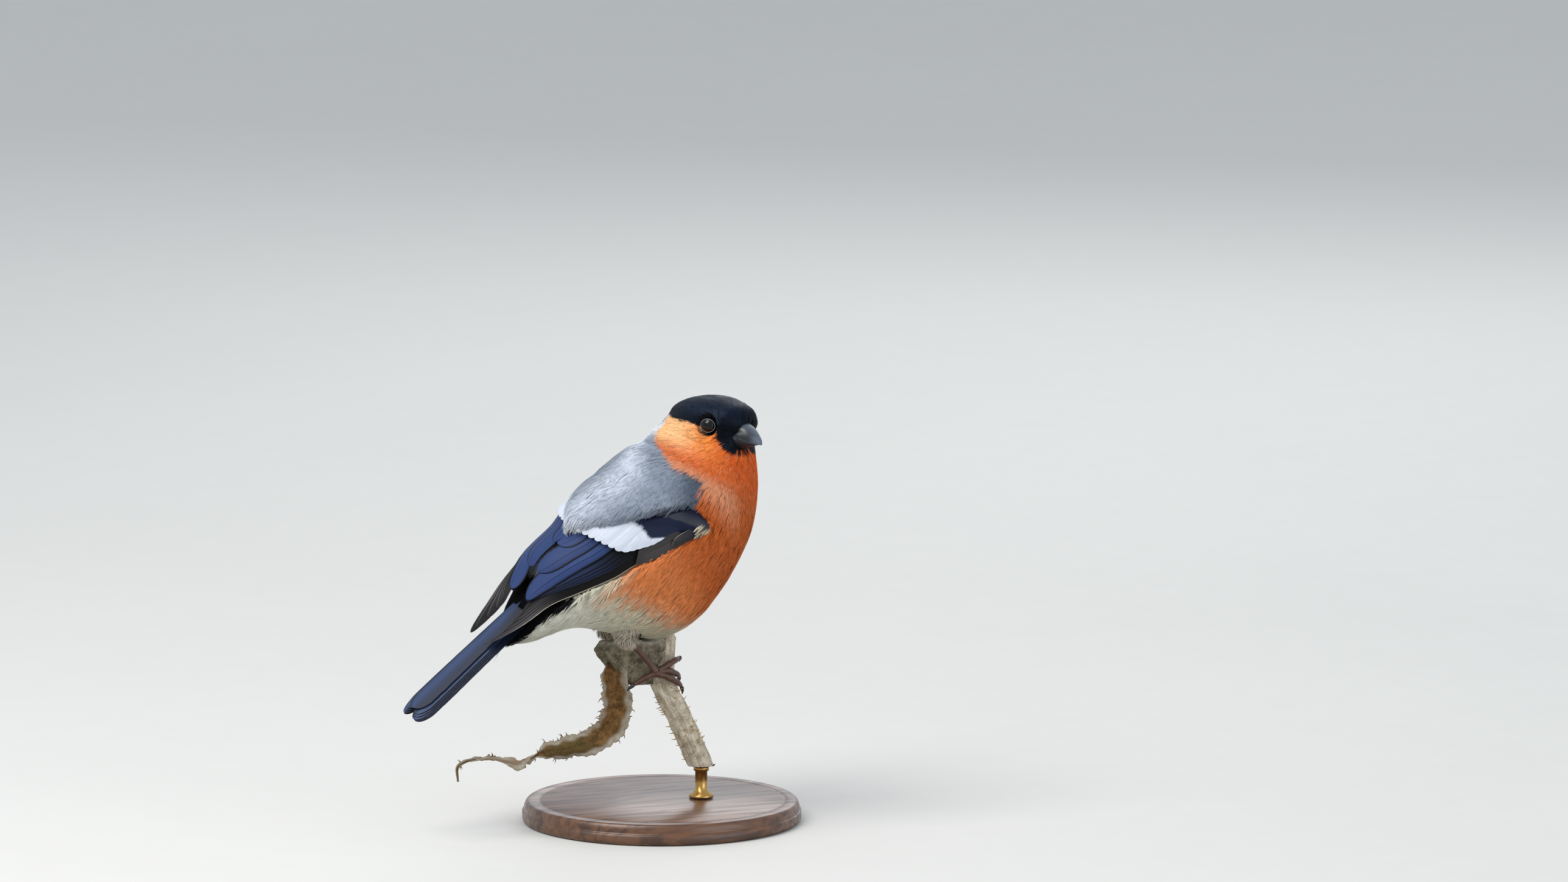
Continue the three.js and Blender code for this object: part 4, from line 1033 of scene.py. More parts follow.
def make_foot(side, name):
    """Toes with scutes, claws and the pad of one foot."""
    skin, claws = [], []
    s = np.linspace(0, 1, TOE_RINGS)
    radius = along([[0, 1.15], [0.25, 1.0], [0.5, 1.05], [0.75, 0.9], [1, 0.72]], s)[:, 0]
    radius = radius * (1 + 0.07 * np.sin(s * 3 * FULL_TURN)) * np.sqrt(np.clip((1 - s) / 0.06, 0.02, 1))
    taper = along([[0, 0.66], [0.3, 0.62], [0.7, 0.36], [1, 0.05]], np.linspace(0, 1, CLAW_RINGS))[:, 0]
    for toe in TOES:
        knots = [on_side(side, p) for p in toe]
        bony = smooth_path(knots, 70)[:TOE_RINGS]
        length = np.linalg.norm(np.diff(bony, axis=0), axis=1).sum()
        factor = scuted(length, TOE_SIDES, 1.05, TOE_RINGS)
        skin.append(closed_loft("toe", tube_rings(bony, radius[:, None] * factor, TOE_SIDES), level_place))
        ahead = unit(knots[3] - knots[2])
        middle = knots[3] + 0.45 * (knots[4] - knots[3]) + 0.5 * ahead
        nail = smooth_path([knots[3] - 0.2 * ahead, middle, knots[4]], CLAW_RINGS)
        claws.append(closed_loft("claw", tube_rings(nail, taper, 16), level_place))
    turn = np.linspace(0.03, np.pi - 0.03, 18)[:, None]
    round_ = turns(28)[None]
    bumps = 1 + 0.04 * np.sin(7 * round_) * np.sin(6 * turn)
    ball = stacked(np.sin(turn) * np.cos(round_) * bumps, np.sin(turn) * np.sin(round_) * bumps, np.cos(turn))
    ball = ball * PAD_RADIUS + on_side(side, PALM)
    skin.append(closed_loft("pad", ball, level_place))
    return joined_piece(f"toes_{name}", skin), joined_piece(f"claws_{name}", claws)


def make_tarsus(side, name):
    """The bare shank from the ankle to the foot, with a joint at its top and scutes down its front."""
    ankle, palm = (on_side(side, p) for p in (ANKLE, PALM))
    down = unit(palm - ankle)
    path = ankle + down * np.linspace(-0.6, np.linalg.norm(palm - ankle) - 1.0, SHANK_RINGS)[:, None]
    radius = along([[0, 1.2], [0.08, 1.45], [0.2, 1.1], [0.6, 0.95], [0.88, 1.05], [1, 1.25]],
                   np.linspace(0, 1, SHANK_RINGS))[:, 0]
    factor = scuted(13.0, SHANK_SIDES, 1.5, SHANK_RINGS, 0.09)
    return closed_loft(f"shank_{name}", tube_rings(path, radius[:, None] * factor, SHANK_SIDES), level_place)


# Vanes

SHAFT = 0.34
COLUMNS = np.array([-1, -0.94, -0.8, -0.55, -0.4, 2 * SHAFT - 1, -0.24, 0.05, 0.4, 0.72, 0.92, 1])


def plate_faces(rows, columns):
    """Quads of a closed plate between two like grids of points: the first grid's, the second's, then the rim's."""
    top = grid_faces(rows, columns, closed=False)
    first, last = np.arange(columns), (rows - 1) * columns + np.arange(columns)
    left, right = np.arange(rows) * columns, np.arange(rows) * columns + columns - 1
    rim = np.concatenate([first[:-1], right[:-1], last[:0:-1], left[:0:-1]])
    after = np.roll(rim, -1)
    walls = np.stack([rim, after, after + rows * columns, rim + rows * columns], -1)[:, ::-1]
    return np.concatenate([top, top[:, ::-1] + rows * columns, walls])


def vane_plate(name, upper, thick, web, edge, share, place):
    """A closed thin plate under a grid of points, with a thickness for each, colours and the vane's own maps."""
    rows, columns = upper.shape[:2]
    down = -unit(np.cross(np.gradient(upper, axis=0), np.gradient(upper, axis=1)))
    if dot(down, thick["under"]).mean() < 0:
        down = -down
    lower = upper + down * thick["depth"][..., None]
    points = np.concatenate([upper.reshape(-1, 3), lower.reshape(-1, 3)])
    faces = plate_faces(rows, columns)
    top = faces[:(rows - 1) * (columns - 1)]
    a, b, c = (points[top[:, k]] for k in range(3))
    if dot(np.cross(b - a, c - a), down.reshape(-1, 3)[top[:, 0]]).mean() > 0:
        faces = faces[:, ::-1]

    def both(values):
        flat = np.asarray(values, float).reshape(rows * columns, -1)
        return np.concatenate([flat, flat])

    out = np.concatenate([-down.reshape(-1, 3), down.reshape(-1, 3)])
    return put_mesh(name, body_place(points), [faces],
                    colours={"web_colour": both(web), "edge_colour": both(edge)},
                    uvs={"vane_share": both(share), "vane_place": both(place)},
                    normals=unit(body_place(points + out) - body_place(points)))


def feather_outline(s, round_from):
    """A feather's half width from root to tip, as a share of its widest: a slow swell and a rounded end."""
    swell = 0.72 + 0.28 * np.sin(np.minimum(s / 0.6, 1) * np.pi / 2)
    end = np.sqrt(np.clip(1 - (np.maximum(s - round_from, 0) / (1 - round_from)) ** 2, 0, 1))
    return swell * np.maximum(end, 0.05)


def wing_vane(side, feather, rng, tint, rows=30):
    """One vane on the wing map. Its lower edge runs from root to tip, and each millimetre across lies dip deeper."""
    root, tip, width = feather["root"], feather["tip"], feather["width"]
    s = (1 - (1 - np.linspace(0, 1, rows)) ** 1.5)[:, None]
    c = COLUMNS[None, :]
    rough = 1 + rng.normal(0, 0.012, (rows, 1)) * ease(s, 0.2, 0.5)
    half = width / 2 * feather_outline(s, feather.get("round", 0.74)) * rough
    across = width / 2 + c * half
    p = root[0] + (tip[0] - root[0]) * s - 0.12 * across * s
    q = root[1] + (tip[1] - root[1]) * s + across + feather.get("bow", 0) * np.sin(s * np.pi)
    camber = 0.16 * (1 - c**2) + 0.13 * np.exp(-(((c - 2 * SHAFT + 1) / 0.1) ** 2)) * (1 - s)
    h = feather["level"] - feather["dip"] * across + camber - feather.get("sunk", 0) * (1 - s) ** 2
    upper = wing_point(side, p, q, h)
    inward = wing_point(side, p, q, h - 1) - upper
    depth = (0.16 + 0.16 * np.exp(-(((c - 2 * SHAFT + 1) / 0.2) ** 2))) * (1 - 0.4 * s)
    share = stacked((c + 1) / 2, s)
    web, edge = tint(p, q, share[..., 1], share[..., 0])
    length = np.hypot(tip[0] - root[0], tip[1] - root[1])
    place = stacked(across / 10, s * length / 10)
    return vane_plate("vane", upper, {"under": inward, "depth": depth}, web, edge, share, place)


def flight_feathers():
    """Primaries from the lowest edge up, then secondaries, then tertials on top."""
    rows = []
    tips = [[79.5, 0.1], [82.2, 0.2], [83.3, 0.3], [80.4, 0.8], [75.0, 1.7], [70.4, 2.5], [66.6, 3.0]]
    for i, tip in enumerate(tips):
        rows.append({"kind": "primary" if i else "outer", "root": [13 + i * 1.9, 0.1 + 0.55 * i], "tip": tip,
                     "width": 3.5})
    for i, tip in enumerate([[61.4, 3.0], [62.2, 3.3], [62.7, 3.7], [62.6, 4.2]]):
        rows.append({"kind": "secondary", "root": [16 + i * 3.4, 3.0 + 1.3 * i], "tip": tip, "width": 6.0})
    tertial = {"kind": "tertial", "dip": 0.04, "round": 0.66}
    rows.append({"root": [27, 8.4], "tip": [62.6, 2.6], "width": 8.4, "bow": 1.6, **tertial})
    rows.append({"root": [29, 12.6], "tip": [53.0, 9.3], "width": 9.2, "bow": 1.2, **tertial})
    rows.append({"root": [29, 17.5], "tip": [41.0, 17.2], "width": 8.0, **tertial})
    last = len(rows) - 1
    return [{"dip": 0.2, **row, "level": -0.5 - 0.13 * (last - i)} for i, row in enumerate(rows)]


# The middles of the greater coverts' ends, from the front up
BAR_TIPS = [[14.4, 4.4], [18.4, 5.2], [22.4, 6.2], [25.8, 6.8], [28.6, 7.8], [30.2, 10.8], [31.5, 14.2], [32.6, 17.6],
            [33.5, 21.0]]


def covert_feathers():
    """Greater coverts with their pale ends, coverts of the primaries and the alula."""
    rows = []
    for s in np.linspace(0, 1, 14):
        p, q = along([[i / 8, *tip] for i, tip in enumerate(BAR_TIPS)], np.array(s))
        rows.append({"kind": "greater", "root": [p - 13 - 4 * s, q + 1.2 + 1.2 * s], "tip": [p, q - 2.1],
                     "width": 4.4, "level": 0.35 + 0.95 * s, "round": 0.72, "sunk": 1.6})
    for s in np.linspace(0, 1, 5):
        rows.append({"kind": "primary_covert", "root": [6 + 3 * s, -0.2 + 2.2 * s],
                     "tip": [26.8 - 2.6 * s, -0.2 + 2.6 * s], "width": 3.2, "level": 0.1 + 0.4 * s, "round": 0.7})
    for s in np.linspace(0, 1, 3):
        rows.append({"kind": "alula", "root": [-1.4 + 0.8 * s, -0.2 + 1.2 * s], "tip": [13.8 - 1.4 * s, 0.2 + 1.2 * s],
                     "width": 2.3, "level": 0.9 + 0.7 * s, "round": 0.6, "sunk": 0.5})
    return [{"dip": 0.06, **row} for row in rows]


def bar_start(q):
    """Where, in p, the greater coverts turn from dark blue to pale."""
    return 12.9 + 4.2 * ease(q, 4.4, 7.2)


def covert_tint(kind, palette, rng):
    """Colours of one covert: greater coverts are dark blue near the bend and pale grey to their ends."""
    jitter = rng.normal(0, 0.3)
    tone = 1 + rng.normal(0, 0.04)

    def tint(p, q, s, c):
        if kind == "greater":
            pale = ease(p + jitter - bar_start(q), -0.6, 0.6)
            web = blend(palette["patch"], palette["bar"] * tone, pale)
            edge = blend(palette["alula"] * 0.4, palette["bar"], pale)
        elif kind == "primary_covert":
            web = blend(palette["primary_covert"], palette["primary_covert"] * 0.5, c)
            edge = web * 2.0
        else:
            web = blend(palette["alula"], palette["primary_covert"] * 0.8, ease(p, 4, 13))
            edge = blend(web * 0.5, palette["cream"], 0.7 * ease(c, 0.85, 1.0) * ease(p, 4, 10))
        return np.clip(web, 0, 1), np.clip(edge, 0, 1)

    return tint


def flight_tint(kind, palette, rng):
    """Colours of one flight feather: the upper web of tertials and secondaries is glossy blue, edged with black. The
    tertials' black edges are partly their real dark inner webs and partly painted shade where the vanes overlap.
    """
    tone = 1 + rng.normal(0, 0.05)

    def tint(p, q, s, c):
        if kind in ("primary", "outer"):
            web = blend(palette["primary"] * 0.3, palette["primary"] * 1.7, ease(p, 52, 74))
            edge = blend(web * 2.0, palette["primary_edge"], ease(p, 50, 70) * 0.6)
            if kind == "outer":
                edge = blend(edge, palette["cream"], ease(c, 0.5, 0.2))
        elif kind == "secondary":
            web = blend(palette["secondary"], palette["tertial"] * 0.8, ease(c, 0.6, 0.3) * ease(p, 26, 44) * 0.5)
            edge = np.broadcast_to(palette["secondary"] * 0.7, web.shape)
        else:
            # Both edges darkened to black, and the dark fringe colour too: partly the real dark inner web, partly
            # painted shade where the vanes overlap.
            web = blend(palette["tertial"], palette["secondary"], ease(c, 0.84, 1.0) + ease(c, 0.14, 0.0))
            edge = np.broadcast_to(palette["secondary"] * 0.7, web.shape)
        return np.clip(web * tone, 0, 1), np.clip(edge, 0, 1)

    return tint


ARM_FRONT = -2.4
ARM_REAR = [[0, 10.5], [0.16, 15], [0.32, 20], [0.52, 25.5], [0.72, 29], [1, 33]]
ARM_TOP = [13, 20.5]
ARM_THICK = 4.2
ARM_LIFT = 2.3


def arm_surface(s, c):
    """p, q and h of the arm's upper face: a pad that rises from its front and lower edges and thins to its rear."""
    q = c * (ARM_TOP[0] + (ARM_TOP[1] - ARM_TOP[0]) * s)
    p = ARM_FRONT + (along(ARM_REAR, c)[..., 0] - ARM_FRONT) * s
    front, low = np.minimum(s / 0.2, 1), np.minimum(c / 0.3, 1)
    h = ARM_LIFT * np.sqrt(front * (2 - front)) * np.sqrt(low * (2 - low)) * (1 - 0.6 * s**3)
    return p, q, h - 2.4 * ease(q - level_at(SHOULDER_EDGE, p), -1.5, 2) * ease(p, -1, 4) - 2.6 * ease(p, 2, 10)


def make_arm(side, name, palette, rng):
    """The arm of a wing: a smooth pad, whose line splits grey from blue, and the larger coverts over it."""
    s, c = np.meshgrid(np.linspace(0, 1, 34), np.linspace(0, 1, 30), indexing="ij")
    p, q, h = arm_surface(s, c)
    upper = wing_point(side, p, q, h)
    inward = wing_point(side, p, q, h - 1) - upper
    line = p - (1.9 + 0.7 * (q - 2.3))
    web = blend(blend(palette["patch"] * 0.7, palette["median"], ease(line, -5.5, 0)), palette["patch"],
                ease(line, 0, 0.4))
    share = stacked(0.2 + 0.1 * c, 0.2 + 0.1 * s)
    parts = [vane_plate("pad", upper, {"under": inward, "depth": h + ARM_THICK - 1.0}, web, web, share, share)]
    for feather in covert_feathers():
        parts.append(wing_vane(side, feather, rng, covert_tint(feather["kind"], palette, rng), rows=24))
    return joined_piece(f"arm_{name}", parts)


SMALL_COVERTS = 260
SCALE_ROWS = 6
SCALE_COLUMNS = 5


def small_coverts(side, name, palette, rng):
    """Small pale feathers at the wing's bend, each a narrow thin plate that lies to the rear."""
    count = SMALL_COVERTS
    p = rng.uniform(-3.2, 5.5, count)
    q = rng.uniform(-0.4, 11.5, count)
    keep = (p > -1.6) & (p < 2.2 + rng.normal(0, 0.5, count) - 0.25 * q) & (q < 3.4)
    p, q = p[keep], q[keep]
    order = np.argsort(-p)
    p, q = p[order], q[order]
    count = len(p)
    h = 0.5 + 1.5 * ease(p, -3, 0.5) * ease(q, -0.5, 2.5)
    along_ = np.linspace(0, 1, SCALE_ROWS)[None, :, None]
    across = np.linspace(-1, 1, SCALE_COLUMNS)[None, None, :]
    length = rng.uniform(2.6, 4.0, count)[:, None, None]
    half = rng.uniform(0.2, 0.32, count)[:, None, None] * np.sqrt(np.clip(1 - (2 * along_ - 0.9) ** 2 / 1.3, 0.05, 1))
    pp = p[:, None, None] + length * along_ + 0.10 * across
    qq = q[:, None, None] + half * across - 0.22 * length * along_
    hh = h[:, None, None] + 0.12 + 0.30 * along_ - 0.22 * across**2
    upper = wing_point(side, pp, qq, hh)
    lower = wing_point(side, pp, qq, hh - 0.12)
    points = np.concatenate([upper.reshape(count, -1, 3), lower.reshape(count, -1, 3)], 1)
    faces = plate_faces(SCALE_ROWS, SCALE_COLUMNS)
    if side > 0:
        faces = faces[:, ::-1]
    start = (np.arange(count) * 2 * SCALE_ROWS * SCALE_COLUMNS)[:, None, None]
    jitter = rng.normal(0, 0.7, count)[:, None, None]
    # The scales start from the mantle's side grey, which carries painted shade.
    colour = blend(palette["mantle_low"], palette["cream"], ease(5.0 - qq + jitter, 0, 3) * ease(pp, -3.5, 0.5))
    tone = np.where(rng.random(count) < 0.3, 0.25, 1 + rng.normal(0, 0.08, count))[:, None, None]
    # Each scale is painted darker towards its root: painted shade under the scales that lie over it.
    colour = colour * (tone * (0.6 + 0.4 * along_))[..., None]
    colour = np.concatenate([colour.reshape(count, -1, 3)] * 2, 1)
    share = stacked(across * 0.5 + 0.5, along_ + 0 * length).reshape(count, -1, 2)
    share = np.concatenate([share, share], 1)
    return put_mesh(f"small_coverts_{name}", body_place(points.reshape(-1, 3)),
                    [(faces[None] + start).reshape(-1, 4)],
                    colours={"web_colour": colour, "edge_colour": np.clip(colour * 1.25, 0, 1)},
                    uvs={"vane_share": share, "vane_place": share * 0.35})


def make_flight(side, name, palette, rng):
    """The flight feathers of one wing."""
    vanes = [wing_vane(side, feather, rng, flight_tint(feather["kind"], palette, rng), rows=44)
             for feather in flight_feathers()]
    return joined_piece(f"flight_{name}", vanes)


TAIL_ROOT = -33.0
TAIL_TOP = 16.8
TAIL_AXIS = 10.4
TAIL_STEP = 0.38
TAIL_ROWS = 44


def tail_vane(side, pair, palette, rng):
    """One tail feather. The middle pair lies on top, and each pair under it reaches a little wider."""
    lap = 3.4 if pair == 0 else 0.5
    tip_reach = 4.6 if pair == 0 else 5.2 + (TAIL_HALF_WIDTH - 5.2) * pair / 5
    length = TAIL_LENGTH - 2.6 * max(0.0, 1 - pair / 3)
    rank = 0 if pair == 0 and side < 0 else pair + 1
    level = TAIL_TOP - TAIL_STEP * rank - (0.12 if side > 0 else 0)
    s = (1 - (1 - np.linspace(0, 1, TAIL_ROWS)) ** 1.6)[:, None]
    c = COLUMNS[None, ::-1] * -1 if pair else COLUMNS[None, :]
    reach = tip_reach * (0.84 + 0.16 * np.minimum(s * 1.25, 1))
    end = np.sqrt(np.clip(1 - (np.maximum(s - 0.9, 0) / 0.1) ** 2, 0.01, 1))
    half = (reach + lap) / 2 * np.maximum(end, 0.1) * (1 + rng.normal(0, 0.008, s.shape))
    y = (reach - lap) / 2 + c * half
    shaft = 1 - 2 * SHAFT if pair else 2 * SHAFT - 1
    ridge = 0.14 * np.exp(-(((c - shaft) / 0.08) ** 2)) * (1 - 0.6 * s)
    droop = 0.05 * np.maximum(y, 0) + 0.012 * y * y
    rise = level - droop - 0.5 * s * s + ridge + 0.08 * (1 - c**2) - TAIL_AXIS
    upper = stacked(TAIL_ROOT - length * s, side * y * FLANK_AXIS[1] - rise * FLANK_AXIS[2],
                    TAIL_AXIS + side * y * FLANK_AXIS[2] + rise * FLANK_AXIS[1])
    under = np.broadcast_to([0.0, FLANK_AXIS[2], -FLANK_AXIS[1]], upper.shape)
    depth = (0.15 + 0.18 * np.exp(-(((c - shaft) / 0.16) ** 2))) * (1 - 0.3 * s)
    share = stacked(1 - (c + 1) / 2 if pair else (c + 1) / 2, s)
    share_c = share[..., 0]
    web = blend(palette["tail"], palette["tail_dark"], ease(share_c, 0.25, 0.9) * 0.8)
    shaded = blend(palette["tail_dark"] * 0.3, web, ease(s + 0.25 * (share_c if pair else 1 - share_c), 0.22, 0.5))
    web = np.clip(shaded * (1 + rng.normal(0, 0.04)), 0, 1)
    edge = np.broadcast_to(palette["tail_dark"], web.shape)
    place = stacked((c + 1) * half / 10, s * length / 10)
    return vane_plate("tail_vane", upper, {"under": under, "depth": depth}, web, edge, share, place)


# Head

PUPIL_EDGE = [1.5, 1.9]
IRIS_EDGE = [2.35, 2.6]
LID_REACHES = [2.52, 2.2]
LID_TUBE = 0.13
LID_BEADS = 44


def make_eye(side, name, palette):
    """An eye: rings about the way it looks, whose colours go from pupil to iris to dark rim, with the iris painted
    lighter on its lower side as painted light.
    """
    centre, axis, right, up = eye_frame(side)
    tilt = np.linspace(0.01, np.pi - 0.01, 60)[:, None]
    turn = turns(64)[None]
    radius = EYE_RADIUS * (1 + 0.02 * np.exp(-((tilt / 0.6) ** 2)))
    local = stacked(radius * np.cos(tilt), radius * np.sin(tilt) * np.cos(turn), radius * np.sin(tilt) * np.sin(turn))
    points = centre + local @ np.stack([axis, right, up])
    face, low = np.broadcast_arrays(EYE_RADIUS * np.sin(np.minimum(tilt, np.pi / 2)), 0.5 - 0.5 * np.sin(turn))
    # Painted light: the iris is darker at its top and lighter at its bottom, as if lit through the front of the eye.
    iris = blend(palette["iris"] * 0.5, palette["iris"], low)
    colour = blend(palette["pupil"], iris, ease(face, *PUPIL_EDGE))
    colour = blend(colour, palette["pupil"], ease(face, *IRIS_EDGE))
    return closed_loft(f"eye_{name}", points, body_place, colours={"eye_colour": colour})


def make_lid(side, name):
    """The lids: a thin soft ring round the eye's face, drawn out a little at its corners, with fine beads."""
    centre, axis, right, up = eye_frame(side)
    turn = turns(144)
    wide, tall = LID_REACHES[0] * np.cos(turn), LID_REACHES[1] * np.sin(turn)
    face = np.sqrt(EYE_RADIUS**2 - wide**2 - tall**2) + 0.06
    path = centre + face[:, None] * axis + wide[:, None] * right + tall[:, None] * up
    outward = unit(wide[:, None] * right + tall[:, None] * up)
    ring = turns(12)
    beads = LID_TUBE * (1 + 0.22 * np.cos(LID_BEADS * turn))[:, None, None]
    points = path[:, None] + beads * (np.cos(ring)[None, :, None] * outward[:, None]
                                      + np.sin(ring)[None, :, None] * axis)
    rows, columns = points.shape[:2]
    quads = grid_faces(rows + 1, columns) % (rows * columns)
    flat = points.reshape(-1, 3)
    a, b, c, d = (flat[quads[:, k]] for k in range(4))
    if (dot(a, np.cross(b, c)) + dot(a, np.cross(c, d))).sum() < 0:
        quads = quads[:, ::-1]
    return put_mesh(f"lid_{name}", body_place(flat), [quads])


def make_bill(upper):
    """One half of the bill: rings along its length, levelled at the line of the mouth."""
    length = BILL_LENGTH if upper else LOWER_LENGTH
    t = (length * (1 - (1 - np.linspace(0, 1, 90)) ** 1.3))[:, None]
    row = along(BILL, t)
    forward, height, up, down, half = (row[..., k] for k in range(5))
    angle = turns(64)[None]
    c, s = np.cos(angle), np.sin(angle)
    keel = np.where(s > 0, 0.94, 0.9)
    across = half * np.sign(c) * np.abs(c) ** keel
    rise = np.where(s > 0, up, down) * np.sign(s) * np.abs(s) ** keel
    groove = 0.10 * np.exp(-((forward - 8.0) ** 2) / 8) * np.exp(-((s - 0.45) ** 2) / 0.04)
    across = across * (1 - groove)
    z = height + rise
    mouth = along(MOUTH, forward)[..., 0] + 0.25 * (np.abs(across) / 5) ** 2
    if upper:
        z = np.maximum(z, mouth + 0.05)
    else:
        z = np.minimum(z, mouth - 0.10)
        across = across * 0.965
    points = from_head(stacked(forward, across, z))
    wear = np.maximum(ease(forward, 12.5, 16.0), np.exp(-((z - mouth) ** 2) / 0.08) * 0.8)
    # Along the top ridge of the upper half, wear holds a painted highlight; at the tip and along the mouth's edges it
    # is real wear.
    wear = np.maximum(wear, 0.6 * np.exp(-((s - 1) ** 2) / 0.05) * ease(forward, 6, 10)) if upper else wear * 0.6
    return closed_loft("bill_upper_horn" if upper else "bill_lower_horn", points, body_place,
                       scalars={"wear": wear})


BRISTLES = 1500


def make_bristles(palette, rng):
    """Short black feathers that lie forward round the bill's base and over its nostrils."""
    count = BRISTLES
    turn = rng.uniform(0, FULL_TURN, count)
    t = rng.uniform(0.2, 3.2, count) + 1.3 * np.exp(-((np.sin(turn) - 0.8) / 0.3) ** 2)
    row = along(BILL, t)
    s, c = np.sin(turn), np.cos(turn)
    reach = np.where(s > 0, row[:, 2], row[:, 3])
    root = np.stack([row[:, 0], row[:, 4] * c, row[:, 1] + reach * s], -1)
    normal = unit(np.stack([np.full(count, 0.25), c / row[:, 4], s / reach], -1))
    lie = np.stack([np.ones(count), -0.1 * c, -0.15 * s], -1) + rng.normal(0, 0.16, (count, 3))
    lie = laid(lie, normal)
    root, normal, lie = from_head(root), normal @ HEAD_AXES, lie @ HEAD_AXES
    length = rng.uniform(1.2, 2.3, count) * np.where(s > 0.1, 1.25, 0.8)
    points = blade_points(root, lie, normal, length, rng.uniform(0.16, 0.26, count), np.full(count, 0.25),
                          rng.uniform(0.05, 0.5, count), np.full(count, 0.01))
    tone = np.broadcast_to(palette["mask"], (count, 3)) * rng.uniform(0.5, 1.1, count)[:, None]
    place = skin_map(np.full(count, 12.6) + 0.05 * t, (turn - np.pi) * 0.2)
    # Each bristle is painted darker at its root: painted shade between the bristles.
    return blade_mesh("bristles", points, tone * 0.6, tone, place)


THIGH_BLADES = 1400


def thigh_feathers(palette, rng, side, name):
    """Pale feathers down the thigh, rooted on the sleeve."""
    rings = thigh_rings(side) @ BODY_AXES.T
    count = THIGH_BLADES
    i = rng.uniform(0, 11.0, count)
    j = rng.integers(0, THIGH_SIDES, count)
    low = np.floor(i).astype(int)
    f = (i - low)[:, None]
    root = rings[low, j] * (1 - f) + rings[low + 1, j] * f
    middle = rings.mean(1)
    normal = unit(root - (middle[low] * (1 - f) + middle[low + 1] * f))
    lie = unit(rings[low + 1, j] - rings[low, j] + rng.normal(0, 0.06, (count, 3)))
    lie = laid(lie, normal)
    points = blade_points(root, lie, normal, rng.uniform(2.6, 4.2, count), rng.uniform(0.2, 0.34, count),
                          np.full(count, 0.4), rng.uniform(0.1, 0.5, count), np.full(count, 0.05))
    tone = np.broadcast_to(palette["thigh"], (count, 3)) * rng.uniform(0.8, 1.1, count)[:, None]
    place = np.stack([0.3 + 0.02 * side + 0.01 * j / THIGH_SIDES, 0.02 * i / THIGH_RINGS], -1)
    # Each blade is painted darker at its root: painted shade between the blades.
    return blade_mesh(f"coat_thigh_{name}", points, tone * 0.6, np.clip(tone, 0, 1), place)


# Perch, in the level frame
STEM_PATH = [[7.2, 3.4, -31.0], [5.0, -0.4, -38.5], [4.4, -2.7, -45.9], [9.9, -2.7, -56.9], [19.0, -2.7, -77.0]]
STEM_CUT = -74.0
STEM_RINGS = 220
STEM_SIDES = 96
STEM_PRICKLES = 84
CUP = [[-45.5, -1.2, -0.2, 6.8, 3.4], [-42, -2.0, 0.0, 9.0, 3.9], [-38, -3.6, 0.3, 11.6, 4.4],
       [-34, -4.4, 0.6, 13.0, 4.8], [-31.4, -4.6, 0.6, 12.6, 4.6]]
LEAF = [[-14.6, -0.5, -37.9], [-12.4, -0.5, -46.2], [-11.6, 0, -53.8], [-14, 0.5, -59.8], [-19.8, 1, -64],
        [-27.9, 1.5, -65.9], [-38, 2, -66.9], [-44.7, 2.5, -69.6], [-48.9, 3, -68.7], [-57.1, 3.5, -67.2],
        [-65.7, 4, -69.1], [-66, 4.2, -74.4]]
LEAF_ROWS = 190
LEAF_COLUMNS = 21
LEAF_PRICKLES = 34


def make_stem(radius):
    """The cut stem: a grooved rod of slowly changing radius, cut level at its foot."""
    path = smooth_path(STEM_PATH, STEM_RINGS)
    angle = turns(STEM_SIDES)[None]
    s = np.linspace(0, 1, STEM_RINGS)[:, None]
    ribs = 0.055 * np.cos(9 * angle + 1.2 * np.sin(2.2 * s)) + 0.028 * np.cos(23 * angle + 5 * s)
    ribs = ribs + 0.018 * np.sin(31 * angle + 40 * s) + 0.012 * np.sin(60 * s + 3 * angle)
    rings = tube_rings(path, radius * (1 + ribs) * (1 - 0.02 * np.sin(s * np.pi)), STEM_SIDES, up=(0, 1, 0))
    rings[..., 2] = np.maximum(rings[..., 2], STEM_CUT)
    return closed_loft("stem", rings, level_place)


def prickle(root, out, lean, length, radius):
    """One small curved prickle: a tapered sliver of rings along a bent path."""
    line = smooth_path([root, root + out * length * 0.6 + lean * 0.1, root + out * length + lean * 0.6], 7)
    return closed_loft("prickle", tube_rings(line, np.linspace(radius, 0.04, 7), 6), level_place)


def make_prickles(radius, rng):
    """Small curved prickles on the stem's ribs."""
    path = smooth_path(STEM_PATH, STEM_RINGS)
    t = tangent_of(path)
    side = unit(np.cross([0, 1, 0], t))
    over = np.cross(t, side)
    parts = []
    for place, turn in zip(rng.integers(45, 190, STEM_PRICKLES), rng.uniform(0, FULL_TURN, STEM_PRICKLES)):
        out = np.cos(turn) * side[place] + np.sin(turn) * over[place]
        parts.append(prickle(path[place] + out * (radius - 0.4), out, -t[place], rng.uniform(1.0, 2.2), 0.26))
    return joined_piece("prickles", parts)


def make_cup():
    """The woody cup of leaf bases: rippled rings whose rim curls and frays."""
    z = np.linspace(-45.5, -31.0, 70)[:, None]
    angle = turns(120)[None]
    row = along(CUP, np.clip(z, -45.5, -31.4))
    x, y, wide, deep = (row[..., k] for k in range(4))
    ripple = 1 + 0.07 * np.sin(5 * angle + 0.4) + 0.04 * np.sin(9 * angle + z * 0.2)
    ripple = ripple + 0.025 * np.sin(17 * angle + 0.9 * z) + 0.015 * np.sin(41 * angle - 1.3 * z)
    rim = ease(z, -33.2, -31.0)
    fray = 0.7 * np.sin(7 * angle) + 0.35 * np.sin(16 * angle + 1) + 0.2 * np.sin(37 * angle)
    ripple = ripple * (1 - 0.12 * rim)
    points = stacked(x + wide * ripple * np.cos(angle), y + deep * ripple * np.sin(angle), z + rim * fray * 0.6)
    return closed_loft("cup", points, level_place, scalars={"wear": rim + 0 * angle})


